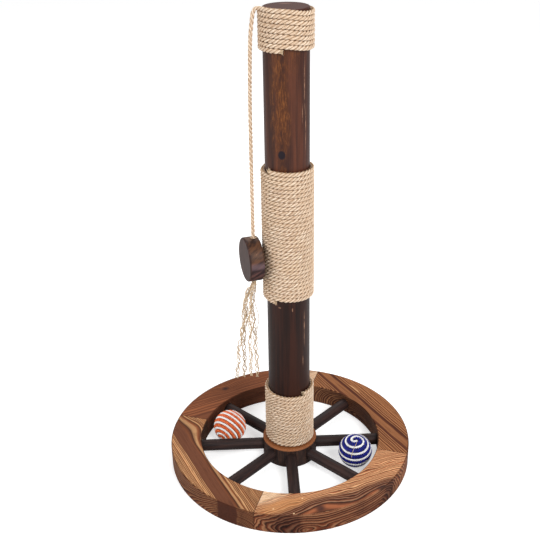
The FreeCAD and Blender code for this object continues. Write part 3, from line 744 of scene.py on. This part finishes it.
def make_tie_thread(material):
    """A thin thread over the blue ball's top, with a small knot near its middle."""
    centre = np.array(node_middle("blue_ball_core"))
    reach = BALL_RADIUS + THREAD_RADIUS
    line = unit(smooth_line("tie", [Vector(way).normalized() for way in THREAD_WAYS]))
    line = even_line(line * reach + centre, THREAD_STEP)
    turns = np.linspace(0, 4 * pi, 26)[:, None]
    way = unit(np.array(KNOT_WAY))
    side = unit(np.cross(way, (0, 0, 1)))
    loop = (np.cos(turns) * side + np.sin(turns) * np.cross(way, side)) * KNOT_RADIUS
    rise = np.linspace(-0.2, 0.7, len(turns))[:, None] * MM * way
    knot = centre + way * reach + loop + rise
    piece = make_threads("blue_ball_tie", [line, knot], [THREAD_RADIUS] * 2, material, 6)
    belongs(piece, "blue_ball", "white_cord")


# ---- shader helpers

# A colour of three numbers is in a screen's own steps, 0 to 255; one of four is the shader's.

def shader_colour(shade):
    if len(shade) == 4:
        return shade
    steps = [value / 255 for value in shade]
    linear = [s / 12.92 if s < 0.04045 else ((s + 0.055) / 1.055) ** 2.4 for s in steps]
    return (*linear, 1)


class Value:
    """A node's output; arithmetic on it adds a math node."""

    def __init__(self, tree, socket):
        self.tree = tree
        self.socket = socket

    def __add__(self, other):
        return self.tree.math("ADD", self, other)

    def __sub__(self, other):
        return self.tree.math("SUBTRACT", self, other)

    def __mul__(self, other):
        return self.tree.math("MULTIPLY", self, other)

    def __truediv__(self, other):
        return self.tree.math("DIVIDE", self, other)


class Tree:
    """A node tree that nodes are added to."""

    def __init__(self, tree):
        self.nodes = tree.nodes
        self.links = tree.links

    def feed(self, value, socket):
        if isinstance(value, Value):
            self.links.new(value.socket, socket)
        elif isinstance(value, tuple):
            socket.default_value = shader_colour(value)
        else:
            socket.default_value = value

    def add(self, kind, fed, output=0, **settings):
        """An output of a new node; fed holds values for its inputs, by name or number."""
        node = self.nodes.new(f"ShaderNode{kind}")
        for name, setting in settings.items():
            setattr(node, name, setting)
        for key, value in fed.items():
            self.feed(value, node.inputs[key])
        return Value(self, node.outputs[output])

    def math(self, operation, *values):
        return self.add("Math", dict(enumerate(values)), operation=operation)


class Finish(Tree):
    """One node material, with short ways to add what it is worked out from."""

    def __init__(self, name, roughness, specular=0.5):
        self.material = bpy.data.materials.new(name)
        self.material.use_nodes = True
        super().__init__(self.material.node_tree)
        self.inputs = self.nodes["Principled BSDF"].inputs
        self.feed(roughness, self.inputs["Roughness"])
        self.feed(specular, self.inputs["Specular IOR Level"])

    def place(self):
        """The point on the object, in millimetres."""
        where = self.add("TexCoord", {}, "Object")
        return self.add("VectorMath", {0: where, "Scale": 1 / MM}, operation="SCALE")

    def turned(self, vector, degrees):
        """The vector turned back about Z, so that X points along that azimuth."""
        fed = {"Vector": vector, "Angle": -radians(degrees)}
        return self.add("VectorRotate", fed, rotation_type="Z_AXIS")

    def split(self, vector):
        node = self.nodes.new("ShaderNodeSeparateXYZ")
        self.feed(vector, node.inputs[0])
        return [Value(self, socket) for socket in node.outputs]

    def join(self, *values):
        return self.add("CombineXYZ", dict(enumerate(values)))

    def noise(self, vector, scale, detail=3, roughness=0.5):
        fed = {"Vector": vector, "Scale": scale, "Detail": detail, "Roughness": roughness}
        return self.add("TexNoise", fed, "Fac")

    def grain(self, place, scales, detail=3, roughness=0.5):
        """Noise that is drawn out along each part of a place by its own scale."""
        drawn = self.join(*[part * scale for part, scale in zip(place, scales)])
        return self.noise(drawn, 1, detail, roughness)

    def attribute(self, name, output):
        return self.add("Attribute", {}, output, attribute_name=name)

    def step(self, value, low, high):
        """0 below low and 1 above high, smooth between; high may be the smaller."""
        fed = {
            "Value": value, "From Min": min(low, high), "From Max": max(low, high),
            "To Min": float(low >= high), "To Max": float(low < high),
        }
        return self.add("MapRange", fed, "Result", interpolation_type="SMOOTHSTEP")

    def ramp(self, value, stops):
        """A colour or a grey worked out from stops of (place, colour)."""
        node = self.nodes.new("ShaderNodeValToRGB")
        self.feed(value, node.inputs[0])
        elements = node.color_ramp.elements
        while len(elements) < len(stops):
            elements.new(1)
        for element, (where, shade) in zip(elements, stops):
            element.position = where
            grey = not isinstance(shade, tuple)
            element.color = (shade, shade, shade, 1) if grey else shader_colour(shade)
        return Value(self, node.outputs[0])

    def mix(self, share, first, second, blend="MIX"):
        """A mix of two colours, which are a mix node's inputs 6 and 7 and its output 2."""
        fed = {0: share, 6: first, 7: second}
        return self.add("Mix", fed, 2, data_type="RGBA", blend_type=blend)

    def distance(self, *terms):
        """The length of a vector given by its parts."""
        first, *others = [term * term for term in terms]
        return self.math("SQRT", sum(others, first))

    def patch(self, across, along, centre, reach, softness):
        """1 inside an ellipse at a place of the surface, fading to 0 over its edge."""
        away = self.distance((across - centre[0]) / reach[0], (along - centre[1]) / reach[1])
        return self.step(away, 1 + softness, 1 - softness)

    def bump(self, height, strength, depth):
        fed = {"Height": height, "Strength": strength, "Distance": depth * MM}
        self.feed(self.add("Bump", fed), self.inputs["Normal"])

    def paint(self, shade):
        self.feed(shade, self.inputs["Base Color"])
        return self.material


# ---- rope and cord finishes

def sisal_finish():
    """Laid sisal: pale strands, a painted warm-brown shade in the grooves between strands and where
    turns touch, and fibres along them.
    """
    sisal = Finish("sisal_rope", roughness=0.85, specular=0.15)
    groove = sisal.attribute("groove", "Fac")
    streak = sisal.noise(sisal.attribute("fibre", "Vector"), 0.9, 4, 0.65)
    blotch = sisal.noise(sisal.place(), 0.035, 2)
    pale = sisal.mix(sisal.step(streak, 0.36, 0.66), (190, 158, 130), (243, 225, 203))
    warm = sisal.mix(sisal.step(blotch, 0.38, 0.66), pale, (216, 187, 157))
    tinted = sisal.mix(0.45, pale, warm)
    # Painted shade: the groove value darkens the strands' grooves and where turns touch.
    shade = sisal.mix(sisal.step(groove, 0.35, 1), tinted, (160, 127, 96))
    sisal.bump(streak - groove * 0.6, 0.6, 0.6)
    return sisal.paint(shade)


def yarn_finish():
    """Unlaid sisal yarn; its groove value darkens a whole yarn."""
    yarn = Finish("pale_yarn", roughness=0.8, specular=0.15)
    streak = yarn.noise(yarn.attribute("fibre", "Vector"), 1.2, 3, 0.6)
    shade = yarn.mix(yarn.step(streak, 0.35, 0.66), (184, 150, 112), (248, 230, 202))
    shade = yarn.mix(yarn.attribute("groove", "Fac") * 0.7, shade, (150, 122, 92))
    yarn.bump(streak, 0.5, 0.4)
    return yarn.paint(shade)


def ball_cord_finish(name, light, dark, hollow_shade):
    """Twisted paper cord: streaks and blotches of two tones, with painted shade deep between its plies.
    """
    cord = Finish(name, roughness=0.6, specular=0.3)
    streak = cord.noise(cord.attribute("fibre", "Vector"), 1.6, 3, 0.6)
    blotch = cord.noise(cord.place(), 0.42, 2)
    tone = streak * 0.45 + blotch * 0.55
    body = cord.mix(cord.step(tone, 0.38, 0.62), dark, light)
    # Painted shade where the plies dip, from the groove value.
    groove = cord.step(cord.attribute("groove", "Fac"), 0.3, 1)
    cord.bump(streak, 0.5, 0.4)
    return cord.paint(cord.mix(groove, body, hollow_shade))


# ---- wood finishes, in millimetres

PEACH = (242, 186, 134)
PALE = (228, 176, 122)
ORANGE = (190, 114, 74)
LIGHT = (210, 146, 92)
TAN = (170, 102, 62)
BROWN = (134, 78, 48)
DARK = (96, 54, 37)
DEEP = (70, 40, 30)
SAPWOOD = (240, 204, 168)
PLAIN_WOOD = (118, 72, 50)
KNOT = (48, 34, 36)
# Resin beads are painted pale: partly their own colour, partly a painted glint.
RESIN_AND_GLINT = (240, 206, 160)
JOINT_LINE = (38, 24, 18)

# Stains multiply the wood under them, so that its lines still show.
SIDE_STAIN = (0.42, 0.34, 0.33, 1)
SOOT = (0.5, 0.44, 0.46, 1)
CHAR = (0.24, 0.2, 0.26, 1)
STREAK = (0.58, 0.5, 0.48, 1)
INNER_BLACK = (0.16, 0.15, 0.17, 1)
INNER_BROWN = (0.5, 0.52, 0.62, 1)
LOWER_STAIN = (0.32, 0.27, 0.27, 1)

# Where a plank's top face, outer side and inner wall begin.
TOP_EDGE = (32.2, 33.6)
SIDE_EDGE = (198, 199.2)
INNER_EDGE = (150.6, 149.6)
SIDE_COARSER = 0.42
CHAR_START = 100
CHAR_SPAN = 100
RESIN_REACH = (1.4, 0.9)

# A plank's azimuth is its middle's. Its places are the distance along it from there, and
# the distance out from the wheel's middle.
PLAIN_PLANK = {
    "streaks": 0.5, "plain": (300, 5), "charred": SOOT, "inner": INNER_BROWN,
    "bends": [], "patches": [], "knots": [], "resin": [],
}
PLANKS = {
    "left": {
        "azimuth": 209, "slope": 0.03, "wander": 5, "ripple": 1,
        "pith": (158, -6), "ring": 1.45, "lines": 0.85, "streaks": 0.3, "plain": (166, 9.5),
        "colours": (PALE, TAN, DEEP), "inner": INNER_BLACK,
        "char": [
            (105, 0.15), (140, 0.3), (152, 0.6), (156, 0.25), (176, 0.25), (180, 0), (200, 0),
        ],
        "bends": [((-92, 118), 22, 16)],
        "patches": [
            (LIGHT, (-100, 124), (34, 9), 0.4), (PALE, (95, 143), (46, 1.6), 1),
            (PALE, (10, 184), (100, 1), 0.9),
        ],
    },
    "front": {
        "azimuth": 299, "slope": 0.12, "wander": 16, "ripple": 7,
        "pith": (200, 6), "ring": 2.6, "lines": 1, "streaks": 0.3,
        "colours": (PEACH, ORANGE, DEEP), "charred": CHAR, "inner": INNER_BLACK,
        "char": [(105, 0), (152, 0), (168, 0.2), (178, 0.85), (194, 0.8), (204, 0.3)],
        "bends": [((-49, 182), 18, 12), ((60, 190), 18, 12)],
        "patches": [
            (SAPWOOD, (-112, 122), (46, 21), 1), (LIGHT, (-95, 162), (36, 12), 0.7),
        ],
        "knots": [((-49, 182), 5.5), ((60, 192), 7)],
        "resin": [
            (-62, 150), (-112, 149), (-109, 177), (-90, 173), (-61, 197),
        ],
    },
    "right": {
        "azimuth": 29, "slope": -0.03, "wander": 6, "ripple": 1.5,
        "pith": (152, 8), "ring": 2.3, "lines": 0.95, "colours": (LIGHT, BROWN, DARK),
        "char": [(105, 0.15), (138, 0.5), (148, 1), (162, 0.95), (170, 0.2), (200, 0.05)],
        "patches": [(PALE, (58, 170), (15, 1.3), 0.9)],
    },
    "back": {
        "azimuth": 119, "slope": 0.04, "wander": 5, "ripple": 2,
        "pith": (110, -60), "ring": 2, "lines": 0.7, "colours": (TAN, BROWN, DARK),
        "char": [(105, 0.1), (150, 0.1), (170, 0.35), (185, 0.1), (200, 0.3)],
        "bends": [((37, 175), 14, 7)],
        "patches": [(SAPWOOD, (-128, 132), (18, 20), 0.8)],
        "knots": [((37, 175), 4.5)],
    },
}


def across_figure(wood, plank, radial, along, height):
    """The distance across the plank, moved by its slope, its wander and its bends at knots."""
    sway = wood.grain((along, radial, height), (0.012, 0.045, 0.045), 2)
    ripple = wood.grain((along, radial, height), (0.04, 0.09, 0.06), 2)
    shift = (sway - 0.5) * plank["wander"] + (ripple - 0.5) * plank["ripple"]
    across = radial + shift - along * plank["slope"]
    for spot, reach, push in plank["bends"]:
        across = across + wood.patch(along, radial, spot, (reach * 1.6, reach), 0.9) * push
    return across


def ring_band(wood, plank, across, height, side):
    """0 to 1 over each growth ring about the pith; the rings are coarser on the side."""
    pith_across, pith_height = plank["pith"]
    rings = wood.distance(across - pith_across, height - pith_height) / plank["ring"]
    uneven = wood.noise(wood.join(rings * 0.35, 0, 0), 1, 2)
    coarser = wood.math("SUBTRACT", 1, side * SIDE_COARSER)
    return wood.math("FRACT", (rings + uneven * 2.5) * coarser)


def figured_wood(wood, plank, band, across, fine, streak):
    """The bare plank: its lines, its plain band, its pores and its dark streaks."""
    light, middle, dark = plank["colours"]
    lines = wood.ramp(band, [(0, light), (0.16, light), (0.36, middle), (0.8, dark), (1, light)])
    plain_middle, plain_reach = plank["plain"]
    off_middle = wood.math("ABSOLUTE", across - plain_middle)
    lined = wood.step(off_middle, plain_reach - 1, plain_reach + 1) * plank["lines"]
    shade = wood.mix(lined, PLAIN_WOOD, lines)
    shade = wood.mix(wood.step(fine, 0.5, 0.68) * 0.5, shade, dark)
    return wood.mix(wood.step(streak, 0.48, 0.64) * plank["streaks"], shade, STREAK, "MULTIPLY")


def plank_finish(name, plank):
    """Charred and brushed softwood: growth rings about a pith that runs along the plank."""
    wood = Finish(name, roughness=0.7, specular=0.12)
    radial, along, height = wood.split(wood.turned(wood.place(), plank["azimuth"]))
    from_centre = wood.distance(*wood.split(wood.place())[:2])
    side = wood.step(from_centre, *SIDE_EDGE)
    top_face = wood.step(height, *TOP_EDGE)
    across = across_figure(wood, plank, radial, along, height)
    band = ring_band(wood, plank, across, height, side)
    fine = wood.grain((along, across, height), (0.04, 1.1, 1.1), 3, 0.65)
    streak = wood.grain((along, across, height), (0.009, 0.3, 0.12), 3, 0.6)
    shade = figured_wood(wood, plank, band, across, fine, streak)
    bare = wood.step(fine, 0.68, 0.46)
    for tint, spot, reach, amount in plank["patches"]:
        share = wood.patch(along, across, spot, reach, 0.35) * bare * amount * top_face
        shade = wood.mix(share, shade, tint)
    stops = [((place - CHAR_START) / CHAR_SPAN, share) for place, share in plank["char"]]
    zones = wood.ramp((across - CHAR_START) / CHAR_SPAN, stops)
    shade = wood.mix(zones, shade, plank["charred"], "MULTIPLY")
    for spot, reach in plank["knots"]:
        mask = wood.patch(along, radial, spot, (reach * 1.3, reach), 0.7)
        shade = wood.mix(mask * top_face * 0.8, shade, KNOT)
    # Resin beads on the top face: their pale spots are partly their own colour, partly a painted glint.
    for spot in plank["resin"]:
        mask = wood.patch(along, radial, spot, RESIN_REACH, 0.4)
        shade = wood.mix(mask * top_face, shade, RESIN_AND_GLINT)
    to_joint = radial - wood.math("ABSOLUTE", along)
    shade = wood.mix(wood.step(to_joint, 0.9, 0.1), shade, JOINT_LINE)
    shade = wood.mix(side, shade, SIDE_STAIN, "MULTIPLY")
    inner = wood.step(from_centre, *INNER_EDGE)
    shade = wood.mix(inner, shade, plank["inner"], "MULTIPLY")
    wood.bump(band + fine * 0.6, 0.4, 0.8)
    return wood.paint(shade)


SPOKE_TIP = (143, 149)
SPOKE_ROOT = (50, 45)


def spoke_finish(number, azimuth):
    """Dark stain with grain along the spoke, darker at both its ends."""
    wood = Finish(f"spoke_stain_{number}", roughness=0.55, specular=0.2)
    place = wood.split(wood.turned(wood.place(), azimuth))
    coarse = wood.grain(place, (0.02, 0.35, 0.35))
    fine = wood.grain(place, (0.08, 1.8, 1.8), 3, 0.65)
    shade = wood.mix(wood.step(coarse, 0.35, 0.68), (34, 25, 25), (58, 39, 35))
    shade = wood.mix(wood.step(fine, 0.5, 0.78) * 0.5, shade, (78, 54, 46))
    along = place[0]
    ends = wood.math("MAXIMUM", wood.step(along, *SPOKE_TIP), wood.step(along, *SPOKE_ROOT))
    wood.bump(fine, 0.3, 0.3)
    return wood.paint(wood.mix(ends * 0.55, shade, (28, 20, 18)))


HUB_CHAMFER = (31.6, 33.2)


def hub_finish():
    """Turned and stained, with its chamfer rubbed back to warm brown."""
    wood = Finish("hub_stain", roughness=0.6, specular=0.2)
    place = wood.split(wood.place())
    coarse = wood.grain(place, (0.3, 0.3, 0.03))
    fine = wood.grain(place, (1.4, 1.4, 0.12), 3, 0.65)
    shade = wood.mix(wood.step(coarse, 0.35, 0.7), (34, 25, 24), (66, 44, 36))
    rubbed = wood.mix(wood.step(fine, 0.4, 0.66), (112, 62, 34), (176, 112, 66))
    wood.bump(fine, 0.35, 0.3)
    return wood.paint(wood.mix(wood.step(place[2], *HUB_CHAMFER), shade, rubbed))


# Places on the post: the distance round it from its front, to the right, and the height.
AMBER_FIGURES = [
    ((-12, 618), (13, 78), 0.95), ((-2, 590), (7, 44), 0.8),
    ((-6, 512), (5, 16), 0.8), ((4, 690), (16, 30), 0.5),
]
POST_KNOT = (-7.8, 542)
POST_KNOT_REACH = (5.4, 6.4)
# Light marks on the post: the long upright lines on its right front, 24 to 30.5 mm round from the
# front, are a painted highlight of the varnish's sheen; the short marks near 300 mm up are scratches.
POST_SCRATCHES_AND_SHEEN = [
    ((28, 640), (0.8, 34)), ((30.5, 575), (0.6, 30)), ((24, 600), (0.5, 12)),
    ((27, 255), (0.9, 26)), ((24, 200), (0.5, 12)), ((-14, 296), (1.8, 1.2)),
    ((6, 293), (0.8, 3)), ((-20, 300), (2.6, 0.8)),
]
POST_STAIN_EDGE = (330, 300)
POST_MEAN_RADIUS = 33
POST_ROUGHNESS = 0.42


def post_top_wood(wood, x, y, top):
    """The post's end grain, in rings a little off its middle, and a painted reflection on it towards
    the back.
    """
    rings = wood.math("FRACT", wood.distance(x + 6, y - 4) / 2.4)
    rings = wood.step(rings, 0.2, 0.9) * 0.5
    end_grain = wood.mix(rings, (70, 42, 38), (104, 62, 48))
    # Painted reflection: a pale patch towards the back of the top, where the varnish would mirror the
    # bright surroundings.
    painted_top_reflection = top * wood.patch(x, y, (-1, 18), (8, 3), 0.5) * 0.35
    return end_grain, painted_top_reflection


def post_finish():
    """Varnished dark wood, with an amber figure, a knot, light scratches, upright lines of painted
    highlight on its right front and a painted reflection on its top.
    """
    wood = Finish("varnished_post", roughness=POST_ROUGHNESS, specular=0.22)
    place = wood.split(wood.place())
    x, y, z = place
    around = wood.math("ARCTAN2", x, y * -1) * POST_MEAN_RADIUS
    broad = wood.grain(place, (0.085, 0.085, 0.004), 3, 0.6)
    grain = wood.grain(place, (0.55, 0.55, 0.012), 4, 0.6)
    flecks = wood.grain(place, (0.5, 0.5, 0.09), 4, 0.75)
    ragged = wood.grain(place, (0.14, 0.14, 0.03), 4, 0.7)
    shade = wood.mix(wood.step(broad, 0.36, 0.66), (56, 30, 23), (92, 50, 33))
    shade = wood.mix(wood.step(grain, 0.5, 0.7) * 0.6, shade, (38, 22, 22))
    shade = wood.mix(wood.step(z, *POST_STAIN_EDGE), shade, LOWER_STAIN, "MULTIPLY")
    amber = wood.mix(wood.step(flecks, 0.44, 0.7), (80, 43, 22), (134, 80, 38))
    patchy = wood.step(ragged, 0.3, 0.55)
    for centre, reach, amount in AMBER_FIGURES:
        share = wood.patch(around, z, centre, reach, 0.5) * amount * patchy
        shade = wood.mix(share, shade, amber)
    knot = wood.patch(around, z, POST_KNOT, POST_KNOT_REACH, 0.22)
    shade = wood.mix(knot, shade, (27, 18, 26))
    # Painted highlight and scratches: the light marks, broken up by the flecks.
    broken = wood.step(flecks, 0.35, 0.6)
    for centre, reach in POST_SCRATCHES_AND_SHEEN:
        share = wood.patch(around, z, centre, reach, 0.5) * broken * 0.75
        shade = wood.mix(share, shade, (176, 132, 104))
    top = wood.step(z, POST_TOP / MM - 1.2, POST_TOP / MM - 0.3)
    end_grain, painted_top_reflection = post_top_wood(wood, x, y, top)
    shade = wood.mix(top, shade, end_grain)
    # The painted reflection on the top.
    shade = wood.mix(painted_top_reflection, shade, (170, 130, 112))
    wood.bump(grain, 0.15, 0.3)
    wood.feed(top * 0.35 + POST_ROUGHNESS, wood.inputs["Roughness"])
    return wood.paint(shade)


def disc_finish():
    """The round block: upright grain on its face; round its rim soft streaks across it and a band of
    painted highlight at mid height.
    """
    wood = Finish("disc_stain", roughness=0.5, specular=0.2)
    facing = degrees(atan2(DISC_FACING.y, DISC_FACING.x))
    depth, across, height = wood.split(wood.turned(wood.place(), facing))
    depth = depth - FACE_DEPTH / MM
    above = height - DISC_MIDDLE.z / MM
    grain = wood.grain((depth, across, above), (0.25, 0.34, 0.015), 4, 0.6)
    fine = wood.grain((depth, across, above), (0.9, 1.1, 0.05), 3, 0.7)
    slanted = above + depth * 0.55
    streak = wood.grain((depth, across, slanted), (0.035, 0.05, 0.16), 4, 0.6)
    face = wood.mix(wood.step(grain, 0.36, 0.66), (46, 29, 25), (76, 50, 44))
    face = wood.mix(wood.step(fine, 0.6, 0.7) * 0.5, face, (104, 74, 64))
    upper_rim = wood.mix(wood.step(streak, 0.38, 0.62), (44, 27, 22), (92, 60, 40))
    lower_rim = wood.mix(wood.step(streak, 0.4, 0.68), (40, 25, 27), (100, 68, 64))
    rim = wood.mix(wood.step(above, -2, 12), lower_rim, upper_rim)
    # Painted highlight: a pale band round the rim at mid height, where the varnish would reflect the
    # light.
    painted_highlight_band = wood.step(above, -6, 0) * wood.step(above, 9, 3)
    rim = wood.mix(painted_highlight_band * 0.45, rim, (122, 98, 102))
    scratches = wood.step(streak, 0.66, 0.7) * wood.step(fine, 0.45, 0.6)
    rim = wood.mix(scratches * 0.5, rim, (196, 146, 120))
    wood.bump(fine, 0.2, 0.3)
    return wood.paint(wood.mix(wood.step(depth, -1, -3), face, rim))


def dowel_finish():
    wood = Finish("plain_dowel", roughness=0.6, specular=0.3)
    fine = wood.noise(wood.place(), 0.9, 3, 0.6)
    return wood.paint(wood.mix(fine, (196, 160, 112), (222, 190, 146)))


# ---- finishes of metal and ball cores

def metal_finish(name, light, dark):
    metal = Finish(name, roughness=0.35)
    metal.inputs["Metallic"].default_value = 1
    spots = metal.noise(metal.place(), 0.4, 4, 0.6)
    metal.bump(spots, 0.15, 0.2)
    return metal.paint(metal.mix(metal.step(spots, 0.35, 0.7), light, dark))


def core_finish(name, first, second):
    core = Finish(name, roughness=0.85, specular=0.2)
    spots = core.noise(core.place(), 0.7, 3, 0.6)
    return core.paint(core.mix(core.step(spots, 0.35, 0.7), first, second))


SPOKES = 8
FIRST_SPOKE_AZIMUTH = 3


def dress(node, material):
    mesh = frame["nodes"][node].data
    mesh.materials.clear()
    mesh.materials.append(material)


def dress_frame():
    """Every node that stays visible gets its finish."""
    for side, plank in PLANKS.items():
        dress(f"rim_plank_{side}", plank_finish(f"charred_plank_{side}", PLAIN_PLANK | plank))
    for number in range(1, SPOKES + 1):
        azimuth = FIRST_SPOKE_AZIMUTH + 360 / SPOKES * (number - 1)
        dress(f"spoke_{number}", spoke_finish(number, azimuth))
    steel = metal_finish("zinc_steel", (196, 198, 202), (150, 152, 158))
    brass = metal_finish("brass", (196, 160, 84), (160, 124, 60))
    finishes = {
        "hub": hub_finish(), "post": post_finish(), "wood_disc": disc_finish(),
        "rim_joint_dowels": dowel_finish(),
        "hub_bolt": steel, "bolt_washer": steel, "threaded_insert": brass,
        "orange_ball_core": core_finish("orange_core", (120, 46, 20), (168, 70, 32)),
        "blue_ball_core": core_finish("blue_core", (14, 16, 70), (22, 26, 110)),
    }
    for node, material in finishes.items():
        dress(node, material)


# ---- run

# Each cord's light and dark tones, then the painted shade between its plies.
BALL_CORD_COLOURS = {
    "orange": ((244, 128, 70), (216, 90, 42), (160, 56, 24)),
    "blue": ((24, 38, 168), (8, 8, 84), (3, 4, 40)),
    "white": ((255, 255, 255), (247, 245, 244), (226, 222, 221)),
}

make_camera()
light_scene()
make_world()
make_floor()
bpy.context.scene.view_settings.view_transform = "Standard"
pale_yarn = yarn_finish()
make_ropes(sisal_finish(), pale_yarn)
make_tassel(pale_yarn)
cord_finishes = {
    name: ball_cord_finish(f"{name}_cord", *shades) for name, shades in BALL_CORD_COLOURS.items()
}
for ball_name, ball in BALLS.items():
    make_ball(ball_name, *ball, cord_finishes)
make_tie_thread(pale_yarn)
dress_frame()
